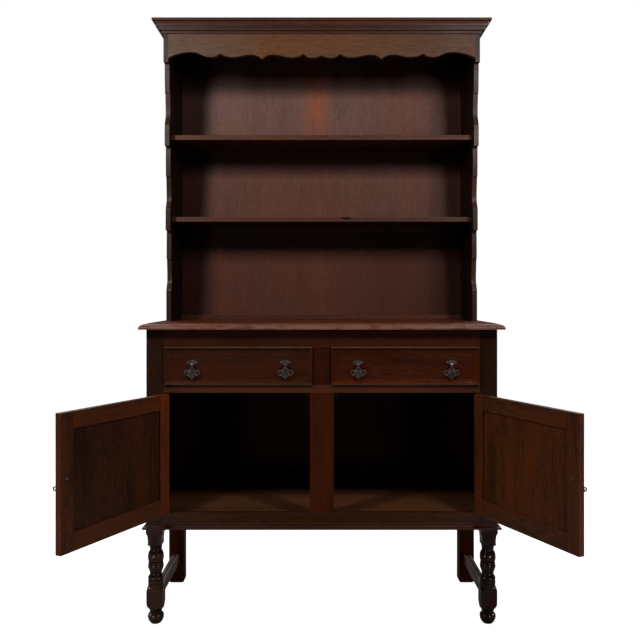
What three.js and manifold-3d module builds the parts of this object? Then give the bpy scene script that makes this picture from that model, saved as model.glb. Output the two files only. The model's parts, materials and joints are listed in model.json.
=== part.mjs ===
// A Welsh dresser in dark stained oak: an open plate rack on a base with two drawers over two
// cupboards. The cupboard doors stand open, as they are in use.
// Lengths are millimetres, +X is to the right, +Z is up and the front faces -Y. The pieces are
// placed with Y = 0 at the front of the carcass frame. The last lines move the origin to the
// floor, under the middle of the dresser with its doors open.
import * as THREE from 'three';
import { mergeVertices } from 'three/addons/utils/BufferGeometryUtils.js';
import Module from 'manifold-3d';

const wasm = await Module();
wasm.setup();

// Carcass
const carcassWidth = 1033;
const carcassDepth = 400;
const carcassHeight = 587.5;
const legHeight = 286.5;
const frontPostWidth = 51.5;
const frontPostDepth = 46;
const backPostSize = 50;
const backPostChamfer = 5;
const frameThickness = 18;
const topRailHeight = 50;
const drawerOpeningHeight = 114;
const midRailHeight = 23;
const bottomRailHeight = 48;
const drawerMuntinWidth = 51;
const doorMuntinWidth = 70;
const sidePanelThickness = 12;
const sidePanelRecess = 5;
const backPanelThickness = 8;
const backPanelInset = 1;
const floorThickness = 12;
const floorDrop = 16;
const dustBoardThickness = 10;
const guideHeight = 12;
const doorStopSize = 14;
const doorStopReach = 12;

// Top of the base, with a thumbnail edge
const topThickness = 18;
const topSideOverhang = 18.5;
const topFrontOverhang = 27;
const topEdgeWidth = 22;
const topEdgeFillet = 4;
const topEdgeStep = 1.5;

// Moulding round the foot of the carcass
const baseMouldingHeight = 16;
const baseMouldingProjection = 11;
const baseMouldingFillet = 5;
const baseMouldingTop = 1.5;

// Turned front legs and stretchers
const legBlockSize = 47;
const legSetback = 26;
const legInset = 23;
const capitalHeight = 52;
const capitalSize = 50;
const stretcherWidth = 27;
const stretcherHeight = 27;
const stretcherFloorGap = 71.5;

// Plate rack
const rackInset = 22.5;
const rackHeight = 939;
const rackBoardThickness = 15;
const friezeSetback = 140;
const friezeDrop = 108;
const friezeScallopHeight = 21;
const friezeEndDrop = 10;
const upperShelfHeight = 577;
const lowerShelfHeight = 317.5;
const shelfThickness = 16;
const shelfEdgeDepth = 3;
const upperShelfSetback = 192;
const lowerShelfSetback = 210;
const upperLobeSetback = 159;
const lowerLobeSetback = 175;
const footSetback = 186;
const footHeight = 96;
const upperLobeAbove = 24;
const upperLobeBelow = 24;
const lowerLobeAbove = 18.5;
const lowerLobeBelow = 29.5;
const lobeLedge = 19;
const cuspStep = 6;
const cuspForward = 5;
const hollowDepth = 18;
const plateGrooveWidth = 9;
const plateGrooveDepth = 4;
const plateGrooveSetback = 45;
const rackBackThickness = 8;
const battenHeight = 15;
const battenThickness = 12;

// Cornice
const corniceHeight = 42;
const corniceProjection = 31;

// Drawers
const drawerGap = 1.5;
const drawerSideGap = 3;
const drawerFrontThickness = 18;
const drawerBackSpace = 43;
const drawerBoxHeight = 90;
const drawerWall = 10;
const drawerBottomThickness = 5;
const drawerBottomRise = 10;
const drawerMouldingWidth = 16;
const drawerMouldingHeight = 9;

// Doors
const doorGap = 1.5;
const doorThickness = 17.5;
const doorStileWidth = 42;
const doorTopRailHeight = 44;
const doorBottomRailHeight = 48;
const doorPanelThickness = 6;
const doorPanelSetback = 6;
const doorPanelGroove = 6;
const doorBeadWidth = 8;
const doorBeadHeight = 5;
const doorLeftOpenAngle = 116.9;
const doorRightOpenAngle = 114.9;

// Hinges
const hingeHeight = 50;
const hingeEndDistance = 60;
const hingeLeafThickness = 1.3;
const hingeLeafWidth = 16;
const knuckleRadius = 3.5;
const hingePinRadius = 1.4;

// Drop handles
const drawerDropWidth = 46;
const doorDropWidth = 35;
const drawerDropOuterInset = 82.5;
const drawerDropInnerInset = 80;
const drawerDropRise = 4;
const doorDropInset = 19;
const doorDropRise = 181;
const dropThickness = 3;
const strapProud = 0.3;
const plateThickness = 2.5;
const dropStandoff = 9;
const dropPinRadius = 1.4;
const dropEyeRadius = 3.3;
const dropEyeWidth = 6.4;
const cheekThickness = 2.4;
const boltRadius = 2;
const nutRadius = 4.5;
const nutThickness = 4;

// Clearances and overruns
const clearance = 0.3;
const overrun = 0.5;

// Steps in round shapes
const turnedSides = 20;
const smallSides = 8;
const curveSteps = 6;

// Places worked out from the sizes above
const halfCarcass = carcassWidth / 2;
const carcassTop = legHeight + carcassHeight;
const topSurface = carcassTop + topThickness;
const drawerOpeningTop = carcassTop - topRailHeight;
const drawerOpeningFoot = drawerOpeningTop - drawerOpeningHeight;
const doorOpeningTop = drawerOpeningFoot - midRailHeight;
const doorOpeningFoot = legHeight + bottomRailHeight;
const frontPostInner = halfCarcass - frontPostWidth;
const backPostInner = halfCarcass - backPostSize;
const backPostFront = carcassDepth - backPostSize;
const sidePanelInner = halfCarcass - sidePanelRecess - sidePanelThickness;
const backPanelFront = carcassDepth - backPanelInset - backPanelThickness;
const floorSurface = doorOpeningFoot - floorDrop;
const halfRack = halfCarcass - rackInset;
const halfShelf = halfRack - rackBoardThickness;
const rackTop = topSurface + rackHeight;
const rackBoardTop = rackTop - rackBoardThickness;
const rackBackFront = carcassDepth - backPanelInset - rackBackThickness;
const legCentre = halfCarcass - legInset;

// Finishes
const oakFrame = new THREE.MeshStandardMaterial({ color: 0x4b3325, roughness: 0.5, metalness: 0 });
const oakCarved = new THREE.MeshStandardMaterial({ color: 0x5d4632, roughness: 0.5, metalness: 0 });
const oakDrawer = new THREE.MeshStandardMaterial({ color: 0x4a2c22, roughness: 0.45, metalness: 0 });
const oakBack = new THREE.MeshStandardMaterial({ color: 0x43291f, roughness: 0.6, metalness: 0 });
const oakDoor = new THREE.MeshStandardMaterial({ color: 0x553522, roughness: 0.5, metalness: 0 });
const oakTurned = new THREE.MeshStandardMaterial({ color: 0x3a2722, roughness: 0.4, metalness: 0 });
const plainInner = new THREE.MeshStandardMaterial({ color: 0x6b4f35, roughness: 0.8, metalness: 0 });
const agedBronze = new THREE.MeshStandardMaterial({ color: 0x5a5048, roughness: 0.4, metalness: 0.8 });
const hingeSteel = new THREE.MeshStandardMaterial({ color: 0x4a4238, roughness: 0.5, metalness: 0.8 });

// General shapes

const xAxis = new THREE.Vector3(1, 0, 0);
const yAxis = new THREE.Vector3(0, 1, 0);
const zAxis = new THREE.Vector3(0, 0, 1);
// An outline drawn as (depth, height) and given its thickness along +X.
const sideways = new THREE.Matrix4().makeBasis(yAxis, zAxis, xAxis);
// An outline drawn as (across, height) and given its thickness towards the front.
const frontways = new THREE.Matrix4().makeBasis(xAxis, zAxis, yAxis.clone().negate());

function piece(name, geometry, material) {
  const mesh = new THREE.Mesh(geometry, material);
  mesh.name = name;
  return mesh;
}

// A box between two corners.
function block([x0, x1], [y0, y1], [z0, z1]) {
  const geometry = new THREE.BoxGeometry(Math.abs(x1 - x0), Math.abs(y1 - y0), Math.abs(z1 - z0));
  return geometry.translate((x0 + x1) / 2, (y0 + y1) / 2, (z0 + z1) / 2);
}

// A plain board, placed by its position.
function board(name, material, [x0, x1], [y0, y1], [z0, z1]) {
  const size = [Math.abs(x1 - x0), Math.abs(y1 - y0), Math.abs(z1 - z0)];
  const mesh = piece(name, new THREE.BoxGeometry(...size), material);
  mesh.position.set((x0 + x1) / 2, (y0 + y1) / 2, (z0 + z1) / 2);
  return mesh;
}

function extruded(shape, thickness, steps = curveSteps) {
  const options = { depth: thickness, bevelEnabled: false, curveSegments: steps };
  return new THREE.ExtrudeGeometry(shape, options);
}

function cylinder(radius, length, sides) {
  return new THREE.CylinderGeometry(radius, radius, length, sides);
}

function uprightCylinder(radius, z0, z1, sides) {
  return cylinder(radius, z1 - z0, sides).rotateX(Math.PI / 2).translate(0, 0, (z0 + z1) / 2);
}

// A closed mesh as a solid that can be joined and cut.
function solidOf(geometry) {
  const bare = geometry.clone();
  bare.deleteAttribute('normal');
  bare.deleteAttribute('uv');
  const merged = mergeVertices(bare);
  const corners = merged.index.array;
  const kept = [];
  for (let i = 0; i < corners.length; i += 3) {
    const [a, b, c] = [corners[i], corners[i + 1], corners[i + 2]];
    if (a !== b && b !== c && c !== a) kept.push(a, b, c);
  }
  const vertProperties = new Float32Array(merged.attributes.position.array);
  return new wasm.Manifold(new wasm.Mesh({ numProp: 3, vertProperties, triVerts: new Uint32Array(kept) }));
}

function geometryOf(solid) {
  const result = solid.getMesh();
  const geometry = new THREE.BufferGeometry();
  geometry.setAttribute('position', new THREE.BufferAttribute(result.vertProperties, 3));
  geometry.setIndex(new THREE.BufferAttribute(result.triVerts, 1));
  const faceted = geometry.toNonIndexed();
  faceted.computeVertexNormals();
  return faceted;
}

function joined(...geometries) {
  return geometries.map(solidOf).reduce((sum, next) => sum.add(next));
}

function cut(solid, ...geometries) {
  return geometries.map(solidOf).reduce((rest, tool) => rest.subtract(tool), solid);
}

function meshFrom(points, faces) {
  const geometry = new THREE.BufferGeometry();
  geometry.setAttribute('position', new THREE.Float32BufferAttribute(points.flat(), 3));
  geometry.setIndex(faces.flat());
  const faceted = geometry.toNonIndexed();
  faceted.computeVertexNormals();
  faceted.setAttribute('uv', new THREE.Float32BufferAttribute(new Float32Array(faces.length * 6), 2));
  return faceted;
}

// A solid through a stack of level rectangles, from the lowest to the highest.
function rectangleStack(levels) {
  const points = levels.flatMap(({ x, y, z }) => [
    [x[0], y[0], z], [x[1], y[0], z], [x[1], y[1], z], [x[0], y[1], z],
  ]);
  const faces = [[0, 2, 1], [0, 3, 2]];
  for (let level = 0; level + 1 < levels.length; level += 1) {
    for (let side = 0; side < 4; side += 1) {
      const a = level * 4 + side;
      const b = level * 4 + (side + 1) % 4;
      faces.push([a, b, b + 4], [a, b + 4, a + 4]);
    }
  }
  const last = (levels.length - 1) * 4;
  faces.push([last, last + 1, last + 2], [last, last + 2, last + 3]);
  return meshFrom(points, faces);
}

// A section swept along straight runs that meet in mitres. The path lies in the XY plane and
// runs anticlockwise round the piece. Each section point is [outwards, up].
function mitredRun(path, section, closed) {
  const outline = section.map(([out, up]) => new THREE.Vector2(out, up));
  if (THREE.ShapeUtils.isClockWise(outline)) outline.reverse();
  const stops = path.map(([x, y]) => new THREE.Vector2(x, y));
  const count = stops.length;
  const outward = (from, to) => {
    const run = to.clone().sub(from).normalize();
    return new THREE.Vector2(run.y, -run.x);
  };
  const points = stops.flatMap((stop, i) => {
    const before = closed || i > 0 ? outward(stops[(i + count - 1) % count], stop) : null;
    const after = closed || i < count - 1 ? outward(stop, stops[(i + 1) % count]) : null;
    const [a, b] = [before ?? after, after ?? before];
    const mitre = a.clone().add(b).divideScalar(1 + a.dot(b));
    return outline.map((point) => [stop.x + mitre.x * point.x, stop.y + mitre.y * point.x, point.y]);
  });
  const size = outline.length;
  const faces = [];
  for (let run = 0; run < (closed ? count : count - 1); run += 1) {
    const here = run * size;
    const there = ((run + 1) % count) * size;
    for (let k = 0; k < size; k += 1) {
      const next = (k + 1) % size;
      faces.push([here + k, there + k, there + next], [here + k, there + next, here + next]);
    }
  }
  if (!closed) {
    const end = (count - 1) * size;
    for (const [a, b, c] of THREE.ShapeUtils.triangulateShape(outline, [])) {
      faces.push([a, b, c], [end + a, end + c, end + b]);
    }
  }
  return meshFrom(points, faces);
}

// Points of a quarter ellipse from [fromOut, fromUp] to [toOut, toUp]. A bold arc leaves its
// start upright and bulges. A hollow one leaves it level and sinks in.
function quarterArc([fromOut, fromUp], [toOut, toUp], hollow) {
  const points = [];
  for (let step = 0; step <= curveSteps; step += 1) {
    const angle = (Math.PI / 2) * (step / curveSteps);
    const slow = 1 - Math.cos(angle);
    const fast = Math.sin(angle);
    const [across, rise] = hollow ? [fast, slow] : [slow, fast];
    points.push([fromOut + (toOut - fromOut) * across, fromUp + (toUp - fromUp) * rise]);
  }
  return points;
}

// Plan of a board that fills the carcass and is notched round its four posts.
function notchedPlan() {
  const shape = new THREE.Shape();
  const half = [
    [frontPostInner, frameThickness], [frontPostInner, frontPostDepth],
    [sidePanelInner, frontPostDepth], [sidePanelInner, backPostFront],
    [backPostInner, backPostFront], [backPostInner, backPanelFront],
  ];
  const mirrored = [...half].reverse().map(([x, y]) => [-x, y]);
  shape.setFromPoints([...half, ...mirrored].map(([x, y]) => new THREE.Vector2(x, y)));
  return shape;
}

// Base

function makeTop() {
  const edge = [[0, 0], ...quarterArc([0, topEdgeFillet], [topEdgeWidth, topThickness - topEdgeStep], false)];
  edge.push([topEdgeWidth, topThickness]);
  const levels = edge.map(([inset, up]) => {
    const reach = halfCarcass + topSideOverhang - inset;
    return { x: [-reach, reach], y: [inset - topFrontOverhang, carcassDepth], z: carcassTop + up };
  });
  return piece('base_top', rectangleStack(levels), oakFrame);
}

function hingeFeet() {
  const doorFoot = doorOpeningFoot + doorGap;
  const doorHead = doorOpeningTop - doorGap;
  return [doorFoot + hingeEndDistance - hingeHeight / 2, doorHead - hingeEndDistance - hingeHeight / 2];
}

// A front post with a recess for each hinge leaf in its inner face. Side is -1 or 1.
function makeFrontPost(side, name) {
  const post = block(
    [side * frontPostInner, side * halfCarcass], [0, frontPostDepth], [legHeight, carcassTop],
  );
  const recesses = hingeFeet().map((foot) => block(
    [side * (frontPostInner - overrun), side * (frontPostInner + hingeLeafThickness)],
    [-overrun, hingeLeafWidth + clearance],
    [foot - clearance, foot + hingeHeight + clearance],
  ));
  return piece(name, geometryOf(cut(solidOf(post), ...recesses)), oakFrame);
}

function makeBackPost(side, name) {
  const inner = side * backPostInner;
  const outer = side * halfCarcass;
  const [low, high] = [Math.min(inner, outer), Math.max(inner, outer)];
  const level = (inset, z) => ({
    x: [low + inset, high - inset], y: [backPostFront + inset, carcassDepth - inset], z,
  });
  const levels = [level(backPostChamfer, 0), level(0, backPostChamfer), level(0, carcassTop)];
  return piece(name, rectangleStack(levels), oakFrame);
}

function makeRails() {
  const between = [-frontPostInner, frontPostInner];
  const depth = [0, frameThickness];
  const drawerHalf = drawerMuntinWidth / 2;
  const doorHalf = doorMuntinWidth / 2;
  return [
    board('top_rail', oakFrame, between, depth, [drawerOpeningTop, carcassTop]),
    board('mid_rail', oakFrame, between, depth, [doorOpeningTop, drawerOpeningFoot]),
    board('bottom_rail', oakFrame, between, depth, [legHeight, doorOpeningFoot]),
    board('drawer_muntin', oakFrame, [-drawerHalf, drawerHalf], depth, [drawerOpeningFoot, drawerOpeningTop]),
    board('door_muntin', oakFrame, [-doorHalf, doorHalf], depth, [doorOpeningFoot, doorOpeningTop]),
  ];
}

function makeSidePanel(side, name) {
  const across = [side * sidePanelInner, side * (sidePanelInner + sidePanelThickness)];
  return board(name, oakFrame, across, [frontPostDepth, backPostFront], [legHeight, carcassTop]);
}

function makeFloor() {
  const mesh = piece('floor_board', extruded(notchedPlan(), floorThickness), plainInner);
  mesh.position.z = floorSurface - floorThickness;
  return mesh;
}

// The board under the drawers, with a guide strip beside each drawer's path.
function makeDustBoard() {
  const foot = drawerOpeningFoot - dustBoardThickness;
  const sheet = extruded(notchedPlan(), dustBoardThickness).translate(0, 0, foot);
  const high = [drawerOpeningFoot - overrun, drawerOpeningFoot + guideHeight];
  const centreHalf = drawerMuntinWidth / 2;
  const guides = [
    block([-centreHalf, centreHalf], [frameThickness, backPanelFront], high),
    block([frontPostInner, sidePanelInner], [frontPostDepth, backPostFront], high),
    block([-sidePanelInner, -frontPostInner], [frontPostDepth, backPostFront], high),
  ];
  return piece('dust_board', geometryOf(joined(sheet, ...guides)), plainInner);
}

function makeDoorStop() {
  const half = doorMuntinWidth / 2 + doorStopReach;
  return board(
    'door_stop', plainInner, [-half, half], [frameThickness, frameThickness + doorStopSize],
    [doorOpeningTop - doorStopSize, drawerOpeningFoot - dustBoardThickness],
  );
}

function makeBaseBack() {
  return board(
    'base_back', oakBack, [-backPostInner, backPostInner],
    [backPanelFront, backPanelFront + backPanelThickness], [legHeight, carcassTop],
  );
}

// Moulding nailed round the foot of the carcass: a fillet with a hollow above it.
function makeBaseMoulding() {
  const section = [
    [0, 0], [baseMouldingProjection, 0], [baseMouldingProjection, baseMouldingFillet],
    ...quarterArc(
      [baseMouldingProjection - baseMouldingTop, baseMouldingFillet],
      [baseMouldingTop, baseMouldingHeight - baseMouldingTop], true,
    ),
    [baseMouldingTop, baseMouldingHeight], [0, baseMouldingHeight],
  ];
  const path = [
    [-halfCarcass, carcassDepth], [-halfCarcass, 0], [halfCarcass, 0], [halfCarcass, carcassDepth],
  ];
  const mesh = piece('base_moulding', mitredRun(path, section, false), oakFrame);
  mesh.position.z = legHeight;
  return mesh;
}

// Legs and stretchers

// Turned features of the front leg from the floor up. Each runs from the last one's top to its
// own top, a share of the height under the capital. Start and end are radii and swell is what
// the middle of the feature stands out, or waists in, as shares of half the block.
const turningShares = [
  { name: 'ball foot', top: 0.133, start: 0.4, end: 0.79, swell: 0.38, steps: 6 },
  { name: 'ankle', top: 0.188, start: 0.79, end: 0.84, swell: -0.04, steps: 3 },
  { name: 'lower shoulder', top: 0.297, start: 0.84, end: 1.43, swell: 0.15, steps: 4 },
  { name: 'block', top: 0.424, start: 1.43, end: 1.43, swell: 0, steps: 1 },
  { name: 'upper shoulder', top: 0.47, start: 1.43, end: 0.97, swell: 0.1, steps: 3 },
  { name: 'collar', top: 0.513, start: 0.97, end: 0.97, swell: 0, steps: 1 },
  { name: 'low quirk', top: 0.521, start: 0.89, end: 0.89, swell: 0, steps: 1 },
  { name: 'fillet', top: 0.551, start: 0.97, end: 0.97, swell: 0.02, steps: 2 },
  { name: 'bead quirk', top: 0.559, start: 0.89, end: 0.89, swell: 0, steps: 1 },
  { name: 'bead', top: 0.602, start: 0.92, end: 0.9, swell: 0.07, steps: 4 },
  { name: 'neck cove', top: 0.64, start: 0.87, end: 0.74, swell: -0.03, steps: 2 },
  { name: 'vase', top: 0.703, start: 0.74, end: 0.95, swell: -0.02, steps: 3 },
  { name: 'ring', top: 0.754, start: 0.95, end: 0.94, swell: 0.045, steps: 3 },
  { name: 'ring quirk', top: 0.7585, start: 0.88, end: 0.88, swell: 0, steps: 1 },
  { name: 'ring fillet', top: 0.78, start: 0.95, end: 0.93, swell: 0, steps: 1 },
  { name: 'ball quirk', top: 0.788, start: 0.84, end: 0.84, swell: 0, steps: 1 },
  { name: 'ball', top: 0.919, start: 0.85, end: 0.78, swell: 0.19, steps: 6 },
  { name: 'neck', top: 0.958, start: 0.78, end: 0.77, swell: -0.03, steps: 2 },
  { name: 'cove', top: 1, start: 0.77, end: 0.84, swell: 0, steps: 2 },
];

// Square capital of the leg from its foot up: height as a share of the capital's height, width
// as a share of its full width.
const capitalShares = [
  [0, 0.76], [0.02, 0.82], [0.1, 0.83], [0.115, 0.77], [0.145, 0.77], [0.16, 0.81], [0.265, 0.815],
  [0.28, 0.78], [0.31, 0.78], [0.325, 0.815], [0.515, 0.84], [0.61, 0.88], [0.67, 0.945],
  [0.75, 1], [1, 1],
];

function turnedProfile() {
  const unit = legBlockSize / 2;
  const height = legHeight - capitalHeight;
  const points = [new THREE.Vector2(0, 0)];
  let foot = 0;
  for (const { top, start, end, swell, steps } of turningShares) {
    for (let step = 0; step <= steps; step += 1) {
      const turn = Math.PI * (step / steps);
      const along = (1 - Math.cos(turn)) / 2;
      const radius = start + (end - start) * along + swell * Math.sin(turn);
      points.push(new THREE.Vector2(radius * unit, (foot + (top - foot) * along) * height));
    }
    foot = top;
  }
  const last = points.at(-1);
  points.push(new THREE.Vector2(last.x, last.y + overrun), new THREE.Vector2(0, last.y + overrun));
  return points;
}

// A front leg: turned between square parts, as it is when it is cut from one square blank.
function makeFrontLeg(side, name) {
  const turned = new THREE.LatheGeometry(turnedProfile(), turnedSides).rotateX(Math.PI / 2);
  const half = legBlockSize / 2;
  const blank = block([-half, half], [-half, half], [-overrun, legHeight]);
  const foot = legHeight - capitalHeight;
  const capital = rectangleStack(capitalShares.map(([up, wide]) => {
    const reach = (wide * capitalSize) / 2;
    return { x: [-reach, reach], y: [-reach, reach], z: foot + up * capitalHeight };
  }));
  const leg = solidOf(turned).intersect(solidOf(blank)).add(solidOf(capital));
  const mesh = piece(name, geometryOf(leg), oakTurned);
  mesh.position.set(side * legCentre, legSetback, 0);
  return mesh;
}

// A side stretcher with two reeds along its top, from the leg block to the back post.
function makeStretcher(side, name) {
  const half = stretcherWidth / 2;
  const reed = stretcherWidth / 4;
  const springing = stretcherHeight - reed;
  const shape = new THREE.Shape();
  shape.moveTo(-half, 0);
  shape.lineTo(half, 0);
  shape.lineTo(half, springing);
  shape.absarc(reed, springing, reed, 0, Math.PI, false);
  shape.absarc(-reed, springing, reed, 0, Math.PI, false);
  shape.lineTo(-half, 0);
  const front = legSetback + legBlockSize / 2;
  const geometry = extruded(shape, backPostFront - front).applyMatrix4(frontways);
  const mesh = piece(name, geometry, oakTurned);
  mesh.position.set(side * legCentre, backPostFront, stretcherFloorGap);
  return mesh;
}

// Rack

// Lower edge of the frieze from its middle to its end: place along the half, height in the
// scalloped band, and whether the edge comes to a sharp corner there.
const friezeEdgeShares = [
  [0, 0.52, true], [0.061, 0.14, false], [0.119, 0.74, true], [0.192, 0.21, false],
  [0.324, 0.64, false], [0.389, 0, true], [0.464, 0.63, false], [0.583, 0.26, false],
  [0.662, 0.78, true], [0.725, 0.26, false], [0.848, 1, false], [1, 0.17, true],
];
const smoothHandleShare = 0.45;
const sharpAcrossShare = 0.25;
const sharpUpShare = 0.55;

function friezeShape() {
  const foot = rackTop - friezeDrop - friezeScallopHeight / 2;
  const half = friezeEdgeShares.map(([along, up, sharp]) => (
    { x: along * halfShelf, z: foot + up * friezeScallopHeight, sharp }
  ));
  const mirrored = half.slice(1).reverse().map(({ x, z, sharp }) => ({ x: -x, z, sharp }));
  const edge = [...mirrored, ...half];
  const shape = new THREE.Shape();
  shape.moveTo(edge[0].x, edge[0].z);
  for (let i = 1; i < edge.length; i += 1) {
    const [a, b] = [edge[i - 1], edge[i]];
    const handle = (from, to) => {
      const [dx, dz] = [to.x - from.x, to.z - from.z];
      if (!from.sharp) return [from.x + dx * smoothHandleShare, from.z];
      return [from.x + dx * sharpAcrossShare, from.z + dz * sharpUpShare];
    };
    shape.bezierCurveTo(...handle(a, b), ...handle(b, a), b.x, b.z);
  }
  shape.lineTo(halfShelf, rackBoardTop);
  shape.lineTo(-halfShelf, rackBoardTop);
  return shape;
}

function makeFrieze() {
  const geometry = extruded(friezeShape(), rackBoardThickness, curveSteps - 1).applyMatrix4(frontways);
  const mesh = piece('frieze', geometry, oakCarved);
  mesh.position.y = friezeSetback + rackBoardThickness;
  return mesh;
}

// Where the parts of a scalloped bay fall, as shares of its height or of the hollow's depth.
const cuspHeightShare = 0.53;
const rampHeightShare = 0.12;
const runBowShare = 0.12;
const hollowTopShares = [0.7, 0.3];
const hollowFootShares = [1.25, 0.15];
const rampBowShares = [0.12, 0.3];

// One bay of the side board's front edge, from a lobe down to the next one: a ledge, a bowed
// run to a cusp, a hollow, and a ramp out again.
function scallopBay(shape, from, to) {
  const height = from.z - to.z;
  const start = from.y + lobeLedge;
  const cusp = { y: to.y + cuspForward, z: to.z + height * cuspHeightShare };
  const rampHeight = height * rampHeightShare;
  const ramp = { y: to.y + hollowDepth * (1 - hollowTopShares[1]), z: to.z + rampHeight };
  const span = cusp.z - ramp.z;
  shape.lineTo(start, from.z);
  shape.quadraticCurveTo(
    (start + cusp.y) / 2 - hollowDepth * runBowShare, (from.z + cusp.z) / 2, cusp.y, cusp.z,
  );
  shape.lineTo(cusp.y + cuspStep, cusp.z);
  shape.bezierCurveTo(
    to.y + hollowDepth * hollowTopShares[0], cusp.z - span * hollowTopShares[1],
    to.y + hollowDepth * hollowFootShares[0], ramp.z + span * hollowFootShares[1], ramp.y, ramp.z,
  );
  shape.quadraticCurveTo(
    to.y + hollowDepth * rampBowShares[0], to.z + rampHeight * rampBowShares[1], to.y, to.z,
  );
}

function sideBoardShape() {
  const upper = topSurface + upperShelfHeight;
  const lower = topSurface + lowerShelfHeight;
  const stripFoot = rackTop - friezeDrop - friezeScallopHeight / 2 - friezeEndDrop;
  const shape = new THREE.Shape();
  shape.moveTo(carcassDepth, topSurface);
  shape.lineTo(carcassDepth, rackBoardTop);
  shape.lineTo(friezeSetback, rackBoardTop);
  shape.lineTo(friezeSetback, stripFoot);
  const upperLobe = [upper + shelfThickness + upperLobeAbove, upper - upperLobeBelow];
  const lowerLobe = [lower + shelfThickness + lowerLobeAbove, lower - lowerLobeBelow];
  scallopBay(shape, { y: friezeSetback, z: stripFoot }, { y: upperLobeSetback, z: upperLobe[0] });
  shape.lineTo(upperLobeSetback, upperLobe[1]);
  scallopBay(
    shape, { y: upperLobeSetback, z: upperLobe[1] }, { y: lowerLobeSetback, z: lowerLobe[0] },
  );
  shape.lineTo(lowerLobeSetback, lowerLobe[1]);
  scallopBay(
    shape, { y: lowerLobeSetback, z: lowerLobe[1] }, { y: footSetback, z: topSurface + footHeight },
  );
  shape.lineTo(footSetback, topSurface);
  return shape;
}

function makeRackSide(side, name) {
  const geometry = extruded(sideBoardShape(), rackBoardThickness, curveSteps).applyMatrix4(sideways);
  const mesh = piece(name, geometry, oakCarved);
  mesh.position.x = side > 0 ? halfShelf : -halfRack;
  return mesh;
}

// The front edge of a shelf from its top down, two reeds: [back, up] as shares of the depth of
// the edge and of the shelf's thickness.
const shelfEdgeShares = [
  [0.9, 1], [0.3, 0.96], [0, 0.8], [0.05, 0.6], [0.5, 0.5], [0.05, 0.4], [0, 0.2], [0.3, 0.04],
  [0.9, 0],
];

// A shelf with a reeded front edge and a groove along its top that holds plates upright.
function makeShelf(name, setback, height) {
  const foot = topSurface + height;
  const back = rackBackFront;
  const groove = back - plateGrooveSetback;
  const edge = shelfEdgeShares.map(([inwards, up]) => (
    [setback + inwards * shelfEdgeDepth, foot + up * shelfThickness]
  ));
  const corners = [
    [back, foot], [back, foot + shelfThickness],
    [groove + plateGrooveWidth, foot + shelfThickness],
    [groove + plateGrooveWidth / 2, foot + shelfThickness - plateGrooveDepth],
    [groove, foot + shelfThickness], ...edge,
  ];
  const shape = new THREE.Shape(corners.map(([y, z]) => new THREE.Vector2(y, z)));
  const mesh = piece(name, extruded(shape, 2 * halfShelf).applyMatrix4(sideways), oakFrame);
  mesh.position.x = -halfShelf;
  return mesh;
}

function makeRackBack() {
  return board(
    'rack_back', oakBack, [-halfShelf, halfShelf],
    [rackBackFront, rackBackFront + rackBackThickness], [topSurface, rackBoardTop],
  );
}

function makeRackBatten() {
  return board(
    'rack_bottom_batten', oakBack, [-halfShelf, halfShelf],
    [rackBackFront - battenThickness, rackBackFront], [topSurface, topSurface + battenHeight],
  );
}

function makeRackTop() {
  return board(
    'rack_top_board', oakFrame, [-halfRack, halfRack], [friezeSetback, carcassDepth],
    [rackBoardTop, rackTop],
  );
}

// Section of the cornice from its foot up, [outwards, up] as shares of its projection and height.
const corniceFootShares = [
  [0, 0], [0.13, 0], [0.18, 0.04], [0.19, 0.198], [0.4, 0.198], [0.46, 0.24], [0.47, 0.476],
];
const corniceHollowShares = [[0.63, 0.476], [0.93, 0.81]];
const corniceHeadShares = [[0.97, 0.81], [1, 0.84], [1, 0.97], [0.97, 1], [0, 1]];

// The cornice, a stack of stepped mouldings across the front with a return on each side.
function makeCornice() {
  const sized = ([out, up]) => [out * corniceProjection, up * corniceHeight];
  const [hollowFoot, hollowHead] = corniceHollowShares.map(sized);
  const section = [
    ...corniceFootShares.map(sized), ...quarterArc(hollowFoot, hollowHead, false),
    ...corniceHeadShares.map(sized),
  ];
  const path = [
    [-halfRack, carcassDepth], [-halfRack, friezeSetback], [halfRack, friezeSetback],
    [halfRack, carcassDepth],
  ];
  const mesh = piece('cornice', mitredRun(path, section, false), oakFrame);
  mesh.position.z = rackTop - corniceHeight;
  return mesh;
}

// Drop handles. Their frame has its origin on the pivot, with the surface behind it at
// Y = dropStandoff.

// Half of the drop's outline from its neck to its point, as shares of its width. The runs meet
// in corners.
const dropRunShares = [
  [[0.06, -0.05], [0.056, -0.13], [0.13, -0.25], [0.24, -0.36]],
  [[0.24, -0.36], [0.38, -0.345], [0.48, -0.42], [0.49, -0.53], [0.41, -0.66], [0.28, -0.71]],
  [[0.18, -0.74], [0, -0.93]],
];
// Piercings of the drop: the gap between its arms, and its side loops.
const dropArmGapShares = [
  [0, -0.19], [0.1, -0.32], [0.1, -0.41], [0, -0.33], [-0.1, -0.41], [-0.1, -0.32],
];
const dropLoopShares = [
  [0.23, -0.45], [0.34, -0.405], [0.42, -0.45], [0.435, -0.53], [0.37, -0.62], [0.27, -0.58],
];
// The diamond of crossing straps in the middle of the drop: the height of its centre, half of
// its diagonal and the width of a strap.
const latticeCentreShare = -0.62;
const latticeHalfShare = 0.28;
const strapWidthShare = 0.05;
const strapsEachWay = 4;
// Half of the backplate's outline from its top to its foot, as shares of the drop's width.
const plateRunShares = [
  [[0, 0.3], [0.1, 0.28], [0.155, 0.2]],
  [[0.155, 0.2], [0.25, 0.235], [0.33, 0.17], [0.33, 0.08], [0.25, 0.035], [0.17, 0.07]],
  [[0.17, 0.07], [0.14, -0.02], [0.11, -0.06]],
];
const plateBoltShare = 0.17;
const outlineStepsPerSpan = 2;

function scaled(points, size) {
  return points.map(([x, z]) => new THREE.Vector2(x * size, z * size));
}

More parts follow.
